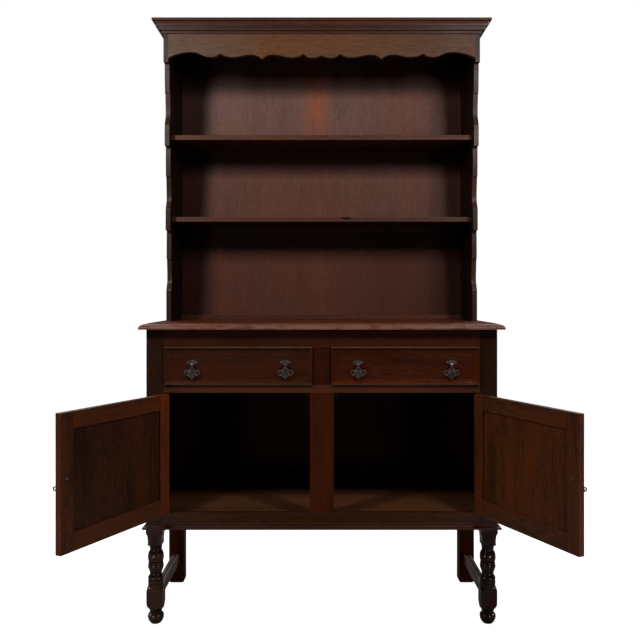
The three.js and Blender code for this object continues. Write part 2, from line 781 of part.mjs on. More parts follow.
// A symmetrical outline from its right half, drawn through smooth runs.
function symmetricalOutline(runs, size) {
  const half = runs.flatMap((run) => {
    const points = scaled(run, size);
    if (points.length === 2) return points;
    return new THREE.SplineCurve(points).getPoints((points.length - 1) * outlineStepsPerSpan);
  });
  const clean = half.filter((p, i) => i === 0 || p.distanceTo(half[i - 1]) > clearance / 2);
  const mirrored = [...clean].reverse().filter((p) => p.x > 0).map((p) => new THREE.Vector2(-p.x, p.y));
  return [...clean, ...mirrored];
}

function dropPiercings(width) {
  const corners = [[1, 0], [0, 1], [-1, 0], [0, -1]];
  const mirroredLoop = dropLoopShares.map(([x, z]) => [-x, z]);
  const diamond = corners.map(([x, z]) => [x * latticeHalfShare, latticeCentreShare + z * latticeHalfShare]);
  const holes = [dropArmGapShares, dropLoopShares, mirroredLoop, diamond];
  return holes.map((hole) => flatPlate(scaled(hole, width), dropThickness + 2 * overrun));
}

// The straps of the lattice. Those that run one way stand a little proud of the others.
function dropStraps(width) {
  const reach = (latticeHalfShare * width) / Math.SQRT2;
  const half = (strapWidthShare * width) / 2;
  const quarterTurn = Math.PI / 4;
  return [-1, 1].flatMap((lean) => {
    const deep = dropThickness / 2 + (lean > 0 ? strapProud : 0);
    return Array.from({ length: strapsEachWay }, (_, i) => {
      const offset = reach * ((2 * i) / (strapsEachWay - 1) - 1);
      const strap = block([offset - half, offset + half], [-deep, deep], [-reach - half, reach + half]);
      return strap.rotateY(lean * quarterTurn).translate(0, 0, latticeCentreShare * width);
    });
  });
}

function acrossCylinder(radius, length) {
  return cylinder(radius, length, smallSides).rotateZ(Math.PI / 2);
}

// An upright plate of the given outline, with its middle at Y = 0.
function flatPlate(outline, thickness) {
  const geometry = extruded(new THREE.Shape(outline), thickness).applyMatrix4(frontways);
  return geometry.translate(0, thickness / 2, 0);
}

// The hanging part: a lattice with a loop at each side, on an eye that turns on a pin.
function makeDrop(name, width) {
  const plate = flatPlate(symmetricalOutline(dropRunShares, width), dropThickness);
  const eye = acrossCylinder(dropEyeRadius, dropEyeWidth);
  const bore = acrossCylinder(dropPinRadius + clearance, dropEyeWidth + 2 * overrun);
  const pierced = cut(joined(plate, eye), bore, ...dropPiercings(width));
  return piece(name, geometryOf(pierced.add(joined(...dropStraps(width)))), agedBronze);
}

function boltLength(wall) {
  return wall + clearance + nutThickness;
}

// The fixed part: a bow-shaped backplate, two cheeks that carry the pin, and a bolt through the
// wall behind it with its nut.
function makePlate(name, width, wall) {
  const bow = flatPlate(symmetricalOutline(plateRunShares, width), plateThickness);
  bow.translate(0, dropStandoff - plateThickness / 2, 0);
  const inner = dropEyeWidth / 2 + clearance;
  const cheekReach = dropEyeRadius;
  const cheeks = [-1, 1].map((side) => block(
    [side * inner, side * (inner + cheekThickness)], [-cheekReach, dropStandoff - overrun],
    [-cheekReach / 2, cheekReach],
  ));
  const pin = acrossCylinder(dropPinRadius, 2 * (inner + cheekThickness) - overrun);
  const boltHeight = plateBoltShare * width;
  const start = dropStandoff - overrun;
  const end = dropStandoff + boltLength(wall);
  const bolt = cylinder(boltRadius, end - start, smallSides).translate(0, (start + end) / 2, boltHeight);
  const nut = cylinder(nutRadius, nutThickness, 6).translate(0, end - nutThickness / 2, boltHeight);
  return piece(name, geometryOf(joined(bow, ...cheeks, pin, bolt, nut)), agedBronze);
}

// A hole for the bolt of a handle whose pivot is at (x, z), through a wall from y0 to y1.
function boltHole(x, z, width, y0, y1) {
  const length = y1 - y0 + 2 * overrun;
  const hole = cylinder(boltRadius + clearance, length, smallSides);
  return hole.translate(x, (y0 + y1) / 2, z + plateBoltShare * width);
}

// Drawers

// Section of the moulding on a drawer front, [inwards from the edge, proud of the face] as
// shares of its width and height: a bead at the edge, then a hollow down to the face.
const drawerBeadShares = [[0, 0], [0, 0.75], [0.08, 0.95], [0.2, 1], [0.32, 0.92], [0.36, 0.7]];
const drawerHollowShares = [[0.36, 0.7], [0.9, 0.12]];
const drawerInnerShares = [[1, 0.08], [1, 0]];

function drawerMoulding(halfWidth, halfHeight) {
  const sized = ([inwards, proud]) => [-inwards * drawerMouldingWidth, proud * drawerMouldingHeight];
  const [from, to] = drawerHollowShares.map(sized);
  const section = [
    ...drawerBeadShares.map(sized), ...quarterArc(from, to, false).slice(1),
    ...drawerInnerShares.map(sized),
  ].map(([out, up]) => [out, up > 0 ? up : -overrun]);
  const path = [
    [-halfWidth, -halfHeight], [halfWidth, -halfHeight], [halfWidth, halfHeight],
    [-halfWidth, halfHeight],
  ];
  return mitredRun(path, section, true).applyMatrix4(frontways);
}

// One drawer, in a frame whose origin is at the middle of its front face.
function makeDrawer(side, label) {
  const opening = frontPostInner - drawerMuntinWidth / 2;
  const halfWidth = opening / 2 - drawerGap;
  const halfHeight = drawerOpeningHeight / 2 - drawerGap / 2;
  const handles = [
    side * (drawerDropInnerInset - halfWidth), side * (halfWidth - drawerDropOuterInset),
  ].sort((a, b) => a - b);
  const slab = block([-halfWidth, halfWidth], [0, drawerFrontThickness], [-halfHeight, halfHeight]);
  const holes = handles.map((x) => boltHole(
    x, drawerDropRise, drawerDropWidth, 0, drawerFrontThickness,
  ));
  const face = cut(joined(slab, drawerMoulding(halfWidth, halfHeight)), ...holes);

  const boxHalf = halfWidth - drawerSideGap;
  const boxFoot = -drawerOpeningHeight / 2 + clearance;
  const boxBack = backPanelFront - drawerBackSpace;
  const walls = new THREE.Shape();
  walls.setFromPoints([
    [-boxHalf, drawerFrontThickness], [-boxHalf, boxBack], [boxHalf, boxBack],
    [boxHalf, drawerFrontThickness], [boxHalf - drawerWall, drawerFrontThickness],
    [boxHalf - drawerWall, boxBack - drawerWall], [drawerWall - boxHalf, boxBack - drawerWall],
    [drawerWall - boxHalf, drawerFrontThickness],
  ].map(([x, y]) => new THREE.Vector2(x, y)));
  const box = piece(`drawer_box_${label}`, extruded(walls, drawerBoxHeight), plainInner);
  box.position.z = boxFoot;
  const bottomFoot = boxFoot + drawerBottomRise;
  const bottom = board(
    `drawer_bottom_${label}`, plainInner, [drawerWall - boxHalf, boxHalf - drawerWall],
    [drawerFrontThickness, boxBack - drawerWall], [bottomFoot, bottomFoot + drawerBottomThickness],
  );

  const drawer = new THREE.Group();
  drawer.add(piece(`drawer_front_${label}`, geometryOf(face), oakDrawer), box, bottom);
  handles.forEach((x, i) => {
    const place = ['a', 'b'][i];
    const plate = makePlate(`drawer_${label}_plate_${place}`, drawerDropWidth, drawerFrontThickness);
    const drop = makeDrop(`drawer_${label}_drop_${place}`, drawerDropWidth);
    for (const part of [plate, drop]) part.position.set(x, -dropStandoff, drawerDropRise);
    drawer.add(plate, drop);
  });
  const centre = (frontPostInner + drawerMuntinWidth / 2) / 2;
  drawer.position.set(side * centre, 0, drawerOpeningFoot + drawerOpeningHeight / 2);
  return drawer;
}

// Hinges. Their frame has its origin on the pin's axis at the foot of the hinge. The door's
// edge is on the side that towards points to: 1 for a door hung at its left, -1 at its right.

const axisForward = knuckleRadius + clearance;
const knuckleShares = [0.33, 0.67];

function hingeLeaf(towards, onDoor) {
  const sign = onDoor ? towards : -towards;
  const across = [(sign * doorGap) / 2, sign * (doorGap / 2 + hingeLeafThickness)];
  const back = axisForward + hingeLeafWidth;
  const [lowSplit, highSplit] = knuckleShares.map((share) => share * hingeHeight);
  const spans = onDoor
    ? [[lowSplit + clearance / 2, highSplit - clearance / 2]]
    : [[0, lowSplit - clearance / 2], [highSplit + clearance / 2, hingeHeight]];
  const leaf = block(across, [axisForward + clearance, back], [0, hingeHeight]);
  const knuckles = spans.flatMap(([z0, z1]) => [
    uprightCylinder(knuckleRadius, z0, z1, smallSides),
    block(across, [0, axisForward + clearance + overrun], [z0, z1]),
  ]);
  if (onDoor) {
    const bore = uprightCylinder(hingePinRadius + clearance, -overrun, hingeHeight + overrun, smallSides);
    return geometryOf(cut(joined(leaf, ...knuckles), bore));
  }
  const pin = uprightCylinder(hingePinRadius, 0, hingeHeight, smallSides);
  return geometryOf(joined(leaf, ...knuckles, pin));
}

function makeFixedLeaves(side, label) {
  const towards = -side;
  return hingeFeet().map((foot, i) => {
    const name = `hinge_fixed_leaf_${label}_${['lower', 'upper'][i]}`;
    const mesh = piece(name, hingeLeaf(towards, false), hingeSteel);
    mesh.position.set(side * (frontPostInner - doorGap / 2), -axisForward, foot);
    return mesh;
  });
}

// Doors. Their frame has its origin on the hinge axis at floor level, with the door closed.

function doorWidth() {
  return frontPostInner - doorMuntinWidth / 2 - 2 * doorGap;
}

function makeDoorFrame(towards, label) {
  const near = doorGap / 2;
  const far = near + doorWidth();
  const front = axisForward;
  const back = front + doorThickness;
  const foot = doorOpeningFoot + doorGap;
  const head = doorOpeningTop - doorGap;
  const across = (a, b) => [towards * a, towards * b];
  const sightFoot = foot + doorBottomRailHeight;
  const sightHead = head - doorTopRailHeight;
  const slab = block(across(near, far), [front, back], [foot, head]);
  const sight = block(
    across(near + doorStileWidth, far - doorStileWidth), [front - overrun, back + overrun],
    [sightFoot, sightHead],
  );
  const panelBack = front + doorPanelSetback + doorPanelThickness;
  const groove = block(
    across(near + doorStileWidth - doorPanelGroove, far - doorStileWidth + doorPanelGroove),
    [front + doorPanelSetback - clearance, panelBack + clearance],
    [sightFoot - doorPanelGroove, sightHead + doorPanelGroove],
  );
  const recesses = hingeFeet().map((z) => block(
    across(near - overrun, near + hingeLeafThickness + clearance),
    [front - overrun, front + hingeLeafWidth + clearance],
    [z - clearance, z + hingeHeight + clearance],
  ));
  const handle = doorHandlePlace(towards);
  const hole = boltHole(handle.x, handle.z, doorDropWidth, front, back);
  const bead = makeDoorBead(towards, near, far, sightFoot, sightHead);
  const frame = cut(solidOf(slab), sight, groove, ...recesses, hole).add(solidOf(bead));
  return piece(`door_frame_${label}`, geometryOf(frame), oakDoor);
}

// Bead round the outer side of the panel, stuck on the edges of the stiles and rails.
function makeDoorBead(towards, near, far, sightFoot, sightHead) {
  const halfWidth = (far - near) / 2 - doorStileWidth;
  const section = [
    [overrun, 0], ...quarterArc([-doorBeadWidth, 0], [0, doorBeadHeight], false), [overrun, doorBeadHeight],
  ];
  const path = [
    [-halfWidth, sightFoot], [halfWidth, sightFoot], [halfWidth, sightHead], [-halfWidth, sightHead],
  ];
  const bead = mitredRun(path, section, true).applyMatrix4(frontways);
  const seat = axisForward + doorPanelSetback - clearance;
  return bead.translate((towards * (near + far)) / 2, seat, 0);
}

function makeDoorPanel(towards, label) {
  const near = doorGap / 2;
  const far = near + doorWidth();
  const edge = doorPanelGroove - clearance;
  const front = axisForward + doorPanelSetback;
  return board(
    `door_panel_${label}`, oakDoor,
    [towards * (near + doorStileWidth - edge), towards * (far - doorStileWidth + edge)],
    [front, front + doorPanelThickness],
    [
      doorOpeningFoot + doorGap + doorBottomRailHeight - edge,
      doorOpeningTop - doorGap - doorTopRailHeight + edge,
    ],
  );
}

function doorHandlePlace(towards) {
  const far = doorGap / 2 + doorWidth();
  return { x: towards * (far - doorDropInset), z: doorOpeningFoot + doorDropRise };
}

function makeDoor(side, label) {
  const towards = -side;
  const door = new THREE.Group();
  door.add(makeDoorFrame(towards, label), makeDoorPanel(towards, label));
  hingeFeet().forEach((foot, i) => {
    const name = `hinge_door_leaf_${label}_${['lower', 'upper'][i]}`;
    const leaf = piece(name, hingeLeaf(towards, true), hingeSteel);
    leaf.position.z = foot;
    door.add(leaf);
  });
  const handle = doorHandlePlace(towards);
  const plate = makePlate(`door_${label}_plate`, doorDropWidth, doorThickness);
  const drop = makeDrop(`door_${label}_drop`, doorDropWidth);
  for (const part of [plate, drop]) {
    part.position.set(handle.x, axisForward - dropStandoff, handle.z);
  }
  door.add(plate, drop);
  door.position.set(side * (frontPostInner - doorGap / 2), -axisForward, 0);
  const openAngle = side < 0 ? doorLeftOpenAngle : doorRightOpenAngle;
  door.rotation.z = side * THREE.MathUtils.degToRad(openAngle);
  return door;
}

// Assembly

const dresser = new THREE.Group();
dresser.add(makeTop(), ...makeRails(), makeFloor(), makeDustBoard(), makeDoorStop());
dresser.add(makeBaseBack(), makeBaseMoulding());
dresser.add(makeRackBack(), makeRackBatten(), makeRackTop(), makeFrieze(), makeCornice());
dresser.add(makeShelf('shelf_upper', upperShelfSetback, upperShelfHeight));
dresser.add(makeShelf('shelf_lower', lowerShelfSetback, lowerShelfHeight));
for (const [side, label] of [[-1, 'left'], [1, 'right']]) {
  dresser.add(makeFrontPost(side, `front_post_${label}`));
  dresser.add(makeBackPost(side, `back_post_${label}`));
  dresser.add(makeSidePanel(side, `side_panel_${label}`));
  dresser.add(makeFrontLeg(side, `front_leg_${label}`));
  dresser.add(makeStretcher(side, `stretcher_${label}`));
  dresser.add(makeRackSide(side, `rack_side_${label}`));
  dresser.add(...makeFixedLeaves(side, label));
  dresser.add(makeDrawer(side, label), makeDoor(side, label));
}

// The origin: on the floor, under the middle of the whole.
const bounds = new THREE.Box3().setFromObject(dresser, true);
dresser.position.y = -(bounds.min.y + bounds.max.y) / 2;
dresser.updateMatrixWorld(true);

export default dresser;
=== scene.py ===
"""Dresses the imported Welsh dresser: finishes, softened arrises, light and camera."""

import json
import math

import bpy
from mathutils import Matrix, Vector


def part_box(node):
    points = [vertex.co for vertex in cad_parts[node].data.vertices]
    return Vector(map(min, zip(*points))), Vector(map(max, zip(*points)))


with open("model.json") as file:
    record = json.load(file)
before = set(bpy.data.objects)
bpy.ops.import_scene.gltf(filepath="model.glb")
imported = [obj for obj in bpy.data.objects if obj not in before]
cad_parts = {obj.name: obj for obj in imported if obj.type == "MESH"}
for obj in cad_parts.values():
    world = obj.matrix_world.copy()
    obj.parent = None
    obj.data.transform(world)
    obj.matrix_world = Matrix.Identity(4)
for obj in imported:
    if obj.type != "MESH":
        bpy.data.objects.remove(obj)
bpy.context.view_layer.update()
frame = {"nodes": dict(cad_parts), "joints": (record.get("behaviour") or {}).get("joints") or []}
nodes = frame["nodes"]
scene = bpy.context.scene

MM = 0.001
SIDES = (("left", -1), ("right", 1))
FRONT_BARS = ("top_rail", "mid_rail", "bottom_rail", "drawer_muntin", "door_muntin")
HANDLES = [name for name in nodes if "plate" in name or "drop" in name]

# Colours, all linear. First the stained oak of each piece.
FRAME = (0.0390, 0.0084, 0.0024)
POST_LEFT = (0.0225, 0.0066, 0.0022)
POST_RIGHT = (0.0160, 0.0040, 0.0008)
BACK_POST = (0.0250, 0.0040, 0.0015)
MID_RAIL = (0.0590, 0.0185, 0.0078)
BOTTOM_RAIL = (0.0350, 0.0098, 0.0018)
DRAWER_MUNTIN = (0.0260, 0.0047, 0.0013)
DOOR_MUNTIN = (0.0430, 0.0076, 0.0010)
CORNICE = (0.042, 0.0132, 0.0080)
SIDE = (0.034, 0.0170, 0.0128)
UPPER_SHELF = (0.077, 0.0270, 0.0156)
LOWER_SHELF = (0.060, 0.0213, 0.0126)
FRIEZE = (0.087, 0.0365, 0.0148)
BACKING = (0.134, 0.0680, 0.0530)
# The batten has the colour of the lower back boarding, with its painted shade.
BATTEN = (0.072, 0.0235, 0.0145)
DRAWERS = {"left": (0.0290, 0.0072, 0.0020), "right": (0.0410, 0.0070, 0.0009)}
DOOR_FRAME = (0.0720, 0.0212, 0.0080)
DOOR_PANELS = {"left": (0.0445, 0.0142, 0.0058), "right": (0.0740, 0.0212, 0.0066)}
TOP = (0.084, 0.0178, 0.0058)
LEG_LEFT = (0.0390, 0.0150, 0.0108)
LEG_RIGHT = (0.0185, 0.0032, 0.0018)
STRETCHER = (0.0400, 0.0180, 0.0135)
FLOOR_BOARD = (0.080, 0.0305, 0.0128)
INNER = (0.040, 0.0170, 0.0085)

# Wood: edges paler by wear and painted highlight, a stain streak, painted reflection, painted
# shade and a chip.
EDGE_WEAR_AND_HIGHLIGHT = (0.085, 0.044, 0.033)
STREAK = (0.250, 0.066, 0.026)
BEAD_WEAR_AND_HIGHLIGHT = (0.095, 0.050, 0.038)
TOP_EDGE_WEAR_AND_HIGHLIGHT = (0.172, 0.082, 0.058)
STRETCHER_REFLECTION = (0.640, 0.510, 0.475)
CUPBOARD_SHADE = (0.0042, 0.0018, 0.0009)
CHIP = (0.004, 0.002, 0.0015)

# Metal: where it is dull and where it is handled.
BRONZE_DULL, BRONZE_BRIGHT = (0.045, 0.034, 0.031), (0.20, 0.160, 0.148)
STEEL_DULL, STEEL_BRIGHT = (0.03, 0.025, 0.022), (0.07, 0.06, 0.052)

# Tints, which a colour is multiplied by.
LIP_HIGHLIGHT_TINT = (1.33, 1.60, 1.65)
COVE_SHADE_TINT = (0.86, 0.83, 0.83)
BACK_MIDDLE_SHADE_TINT = (0.78, 0.60, 0.50)
BACK_LOW_SHADE_TINT = (0.80, 0.68, 0.64)
BACK_RIGHT_SHADE_TINT = (0.81, 0.65, 0.57)
BACK_LOW_RIGHT_SHADE_TINT = (0.78, 0.72, 0.62)
CORNER_SHADOW_TINT = (0.42, 0.36, 0.34)
SHADE_TINT = (0.28, 0.23, 0.23)
SIDE_INNER_SHADE_TINT = (0.24, 0.16, 0.20)
FRIEZE_SHEEN_TINT = (1.04, 1.25, 1.9)
FRIEZE_RIGHT_TINT = (0.78, 0.76, 0.88)
GROOVE_SHADE_TINT = (0.30, 0.26, 0.26)
SWELL_HIGHLIGHT_TINT = (1.45, 1.55, 1.60)
HINGE_STILE_TINTS = {"left": (1.65, 1.30, 0.95), "right": (1.05, 0.90, 0.80)}
DOOR_RAIL_TINT = (0.95, 1.05, 1.1)
DRAWER_MOULDING_HIGHLIGHT_TINT = (1.35, 1.5, 1.6)

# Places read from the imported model, in metres.
UNDERSIDES = [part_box(name)[0].z for name in ("shelf_upper", "shelf_lower")]
FRIEZE_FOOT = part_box("frieze")[0].z
TOP_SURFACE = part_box("base_top")[1].z
RACK_BACK_MIDDLE = sum(corner.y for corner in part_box("rack_back")) / 2
RACK_INNER = abs(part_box("shelf_upper")[0].x)
CUPBOARD_BACK = sum(corner.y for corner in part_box("base_back")) / 2
CUPBOARD_HALF = abs(sum(corner.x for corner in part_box("side_panel_left")) / 2)


# Node graphs


def tree_of(name):
    """A new material, its node tree and its shader."""
    material = bpy.data.materials.new(name)
    material.use_nodes = True
    tree = material.node_tree
    tree.nodes.clear()
    out = tree.nodes.new("ShaderNodeOutputMaterial")
    shader = tree.nodes.new("ShaderNodeBsdfPrincipled")
    tree.links.new(shader.outputs[0], out.inputs[0])
    return material, tree, shader


class Graph:
    """Short calls for the nodes that the finishes share."""

    def __init__(self, tree):
        self.tree = tree

    def link(self, source, socket):
        if isinstance(source, (int, float)):
            socket.default_value = source
        elif isinstance(source, (tuple, list)):
            socket.default_value = tuple(source)
        else:
            self.tree.links.new(source, socket)

    def math(self, kind, *values):
        node = self.tree.nodes.new("ShaderNodeMath")
        node.operation = kind
        for value, socket in zip(values, node.inputs):
            self.link(value, socket)
        return node.outputs[0]

    def plus(self, first, second):
        return self.math("ADD", first, second)

    def minus(self, first, second):
        return self.math("SUBTRACT", first, second)

    def times(self, first, second):
        return self.math("MULTIPLY", first, second)

    def larger(self, first, second):
        return self.math("MAXIMUM", first, second)

    def absolute(self, value):
        return self.math("ABSOLUTE", value)

    def under(self, value, limit):
        """1 where a value is under a limit, 0 where it isn't."""
        return self.math("LESS_THAN", value, limit)

    def vector(self, kind, *values):
        node = self.tree.nodes.new("ShaderNodeVectorMath")
        node.operation = kind
        for value, socket in zip(values, node.inputs):
            self.link(value, socket)
        gives_number = kind in ("DOT_PRODUCT", "LENGTH")
        return node.outputs["Value"] if gives_number else node.outputs[0]

    def place(self):
        return self.tree.nodes.new("ShaderNodeTexCoord").outputs["Object"]

    def facing_up(self):
        """How far a fixed piece's surface faces up, from -1 to 1."""
        geometry = self.tree.nodes.new("ShaderNodeNewGeometry")
        return self.split(geometry.outputs["Normal"])[2]

    def split(self, vector):
        node = self.tree.nodes.new("ShaderNodeSeparateXYZ")
        self.link(vector, node.inputs[0])
        return node.outputs

    def join(self, x, y, z):
        node = self.tree.nodes.new("ShaderNodeCombineXYZ")
        for value, socket in zip((x, y, z), node.inputs):
            self.link(value, socket)
        return node.outputs[0]

    def noise(self, vector, scale, detail=3.0, rough=0.5, distortion=0.0):
        node = self.tree.nodes.new("ShaderNodeTexNoise")
        self.link(vector, node.inputs["Vector"])
        node.inputs["Scale"].default_value = scale
        node.inputs["Detail"].default_value = detail
        node.inputs["Roughness"].default_value = rough
        node.inputs["Distortion"].default_value = distortion
        return node.outputs[0]

    def drawn_noise(self, vector, frequencies, *settings):
        """Noise drawn out by its own frequency along each axis."""
        return self.noise(self.vector("MULTIPLY", vector, frequencies), *settings)

    def ramp(self, value, low, high, to_low=0.0, to_high=1.0):
        """Goes smoothly from to_low, where the value is low, to to_high, where it is high."""
        node = self.tree.nodes.new("ShaderNodeMapRange")
        node.interpolation_type = "SMOOTHSTEP"
        for socket, number in zip(node.inputs[:5], (value, low, high, to_low, to_high)):
            self.link(number, socket)
        return node.outputs[0]

    def mix(self, factor, first, second, blend="MIX"):
        node = self.tree.nodes.new("ShaderNodeMix")
        node.data_type = "RGBA"
        node.blend_type = blend
        self.link(factor, node.inputs[0])
        for value, socket in ((first, node.inputs[6]), (second, node.inputs[7])):
            self.link(value + (1.0,) if isinstance(value, tuple) else value, socket)
        return node.outputs[2]

    def tinted(self, colour, *tints):
        """A colour times one tint after another, each (factor, tint), the factor from 0 to 1."""
        for factor, tint in tints:
            colour = self.mix(factor, colour, tint, "MULTIPLY")
        return colour

    def bump(self, height, strength, distance):
        node = self.tree.nodes.new("ShaderNodeBump")
        node.inputs["Strength"].default_value = strength
        node.inputs["Distance"].default_value = distance
        self.link(height, node.inputs["Height"])
        return node.outputs[0]


# Stained oak

# How each axis turns a place into (along the grain, across it, across it). The shift
# of a piece's grain and the frequencies of its figure are given in that order.
GRAIN_ORDER = {"X": (0, 1, 2), "Y": (1, 0, 2), "Z": (2, 0, 1)}
SHIFT_SHARES = (3.1, 1.0, 1.7)

# Each noise of the figure: its frequencies, scale, detail and roughness, and
# after it the values of the noise at which it is first and fully seen.
TONE = ((1.5, 8.0, 8.0), 1.6, 3.0, 0.55)
WARM_RANGE = (0.45, 0.7)
DIM_RANGE = (0.48, 0.3)
SWAY = ((1.8, 6.0, 6.0), 1.5, 2.0, 0.5)
RING_FREQUENCIES = (3.0, 120.0, 120.0)
RING_NOISE = (1.0, 4.0, 0.6, 0.2)
RING_SWAY = 14.0
RING_RANGE = (0.32, 0.7)
FLECKS = ((34.0, 190.0, 190.0), 1.0, 3.0, 0.6)
FLECK_RANGE = (0.4, 0.6)
FLECK_SHARE = 0.55
PORES = ((60.0, 1300.0, 1300.0), 1.0, 2.0, 0.5)
PORE_RANGE = (0.52, 0.66)

# How the figure changes the base colour at a contrast of 1.
RING_DARKER, RING_PALER = 0.36, 0.40
WARM_TONE = (1.45, 1.12, 0.8)
DIM_TONE, DIM_SHARE = (0.6, 0.55, 0.55), 0.85
PORE_TONE, PORE_SHARE = 0.4, 0.6

# Surface: roughness, specular level and bump.
GLOSS = 0.36
FRONT_GLOSS = 0.42
DRAWER_GLOSS = 0.44
GLOSS_SPREAD = (-0.06, 0.10)
WEAR_NOISE = (9.0, 4.0, 0.6)
WEAR_RANGE = (0.3, 0.75)
PORE_ROUGHNESS = 0.1
SHINE = 0.12
DRAWER_SHINE = 0.1
BUMP = 0.2
BUMP_DEPTH = 0.2 * MM
RING_HEIGHT = 0.25


def grain(g, place, axis, shift, wild=1.0):
    """Oak figure along an axis: (broad tone, growth rings, open pores), each from 0 to 1."""
    parts = g.split(place)
    seat = g.join(*(g.plus(parts[i], shift * share)
                    for i, share in zip(GRAIN_ORDER[axis], SHIFT_SHARES)))
    sway = g.times(g.drawn_noise(seat, *SWAY), RING_SWAY * wild)
    lines = g.vector("ADD", g.vector("MULTIPLY", seat, RING_FREQUENCIES), g.join(0.0, sway, 0.0))
    rings = g.ramp(g.noise(lines, *RING_NOISE), *RING_RANGE)
    flecks = g.ramp(g.drawn_noise(seat, *FLECKS), *FLECK_RANGE)
    pores = g.ramp(g.drawn_noise(seat, *PORES), *PORE_RANGE)
    return g.drawn_noise(seat, *TONE), g.mix(FLECK_SHARE, rings, flecks), pores


def scaled(colour, *factors):
    """A colour times one factor, or times one for each channel."""
    each = factors if len(factors) == 3 else factors * 3
    return tuple(min(1.0, channel * factor) for channel, factor in zip(colour, each))


def toned(g, figure, base, contrast):
    """Colour of stained oak from its figure."""
    broad, rings, pores = figure
    colour = g.mix(rings, scaled(base, 1.0 - RING_DARKER * contrast),
                   scaled(base, 1.0 + RING_PALER * contrast))
    warm = g.ramp(broad, *WARM_RANGE, 0.0, contrast)
    dim = g.ramp(broad, *DIM_RANGE, 0.0, DIM_SHARE * contrast)
    colour = g.mix(warm, colour, scaled(base, *WARM_TONE))
    colour = g.mix(dim, colour, scaled(base, *DIM_TONE))
    return g.mix(g.times(pores, PORE_SHARE), colour, scaled(base, PORE_TONE))


def patchy_gloss(g, place, gloss):
    """A roughness near a given one, smoother in some places and duller in others."""
    smoother, duller = GLOSS_SPREAD
    return g.ramp(g.noise(place, *WEAR_NOISE), *WEAR_RANGE, gloss + smoother, gloss + duller)


def set_surface(g, shader, colour, rough, shine, height=None):
    """Joins a finish to its shader. Shine is the specular level."""
    g.link(colour, shader.inputs["Base Color"])
    g.link(rough, shader.inputs["Roughness"])
    if height is not None:
        g.link(g.bump(height, BUMP, BUMP_DEPTH), shader.inputs["Normal"])
    shader.inputs["Specular IOR Level"].default_value = shine


def oak(name, base, axis, shift, gloss=GLOSS, contrast=0.7, wild=1.0, extra=None,
        coords=None, shine=SHINE):
    """Stained oak with its grain along one axis. coords and extra let a finish add its parts."""
    material, tree, shader = tree_of(name)
    g = Graph(tree)
    place = coords(g) if coords else g.place()
    figure = grain(g, place, axis, shift, wild)
    _, rings, pores = figure
    colour = toned(g, figure, base, contrast)
    height = g.minus(g.times(rings, RING_HEIGHT), pores)
    if extra:
        colour, height = extra(g, place, colour, height)
    rough = g.plus(patchy_gloss(g, place, gloss), g.times(pores, PORE_ROUGHNESS))
    set_surface(g, shader, colour, rough, shine, height)
    return material


# Metal
TARNISH_NOISE = (160.0, 4.0, 0.6)
TARNISH_RANGE = (0.35, 0.65)
TARNISH_GLOSS_RANGE = (0.3, 0.7)
METAL_DULLER, METAL_SMOOTHER = 0.14, 0.06
DENT_NOISE = (420.0, 3.0, 0.6)
DENT_BUMP, DENT_DEPTH = 0.25, 0.4 * MM
METALLIC = 0.6


def metal(name, dull, bright, rough):
    """Aged metal: bright where it is handled, dull and dark in between."""
    material, tree, shader = tree_of(name)
    g = Graph(tree)
    place = g.place()
    tarnish = g.noise(place, *TARNISH_NOISE)
    colour = g.mix(g.ramp(tarnish, *TARNISH_RANGE), dull, bright)
    gloss = g.ramp(tarnish, *TARNISH_GLOSS_RANGE, rough + METAL_DULLER, rough - METAL_SMOOTHER)
    g.link(colour, shader.inputs["Base Color"])
    g.link(gloss, shader.inputs["Roughness"])
    g.link(g.bump(g.noise(place, *DENT_NOISE), DENT_BUMP, DENT_DEPTH), shader.inputs["Normal"])
    shader.inputs["Metallic"].default_value = METALLIC
    return material


# Fine dark lines: how far from a line's middle it is fully dark, and where it ends.
JOINT_LINE = (0.2 * MM, 0.9 * MM)
DRAWER_MITRE_LINE = (0.2 * MM, 0.8 * MM)
# Painted shade beside a drawer's moulding:
MOULDING_SHADE_LINE = (0.0, 2.2 * MM)


def dark_line(g, offset, line, depth):
    """A line along which an offset is about zero: depth in its middle and 0 beside it."""
    return g.ramp(g.absolute(offset), *line, depth, 0.0)


# Doors. They are packed standing open, so each finish follows its own door's width.
HINGE = {joint["child"]: Vector(joint["pos_m"]) for joint in frame["joints"]
         if joint["name"].startswith("door_hinge")}
DOOR_TURN = {"left": math.radians(116.9), "right": math.radians(114.9)}
DOOR_STILE = 0.042
DOOR_RAIL_SHIFT = 0.7
DOOR_JOINT_DEPTH, DOOR_JOINT_TONE = 0.85, 0.25
FRONT_CONTRAST = 1.3


def door_axes(side):
    """A door's hinge, its direction from the hinge edge, and the one into it."""
    label = "left" if side < 0 else "right"
    turn = side * DOOR_TURN[label]
    along = (-side * math.cos(turn), -side * math.sin(turn), 0.0)
    return HINGE[f"door_{label}"], along, (-math.sin(turn), math.cos(turn), 0.0)


def door_span(side, label):
    """Where a door begins and ends along its width, from its hinge."""
    hinge, along, _ = door_axes(side)
    piece = nodes[f"door_frame_{label}"]
    reach = [(piece.matrix_world @ v.co - hinge).dot(Vector(along)) for v in piece.data.vertices]
    return min(reach), max(reach)


def door_coords(side):
    """Place in a door's own frame: x from the hinge edge, y into the door, z up."""
    hinge, along, inwards = door_axes(side)

    def coords(g):
        flat = g.vector("SUBTRACT", g.place(), (hinge.x, hinge.y, 0.0))
        height = g.split(flat)[2]
        across = g.vector("DOT_PRODUCT", flat, along)
        return g.join(across, g.vector("DOT_PRODUCT", flat, inwards), height)

    return coords


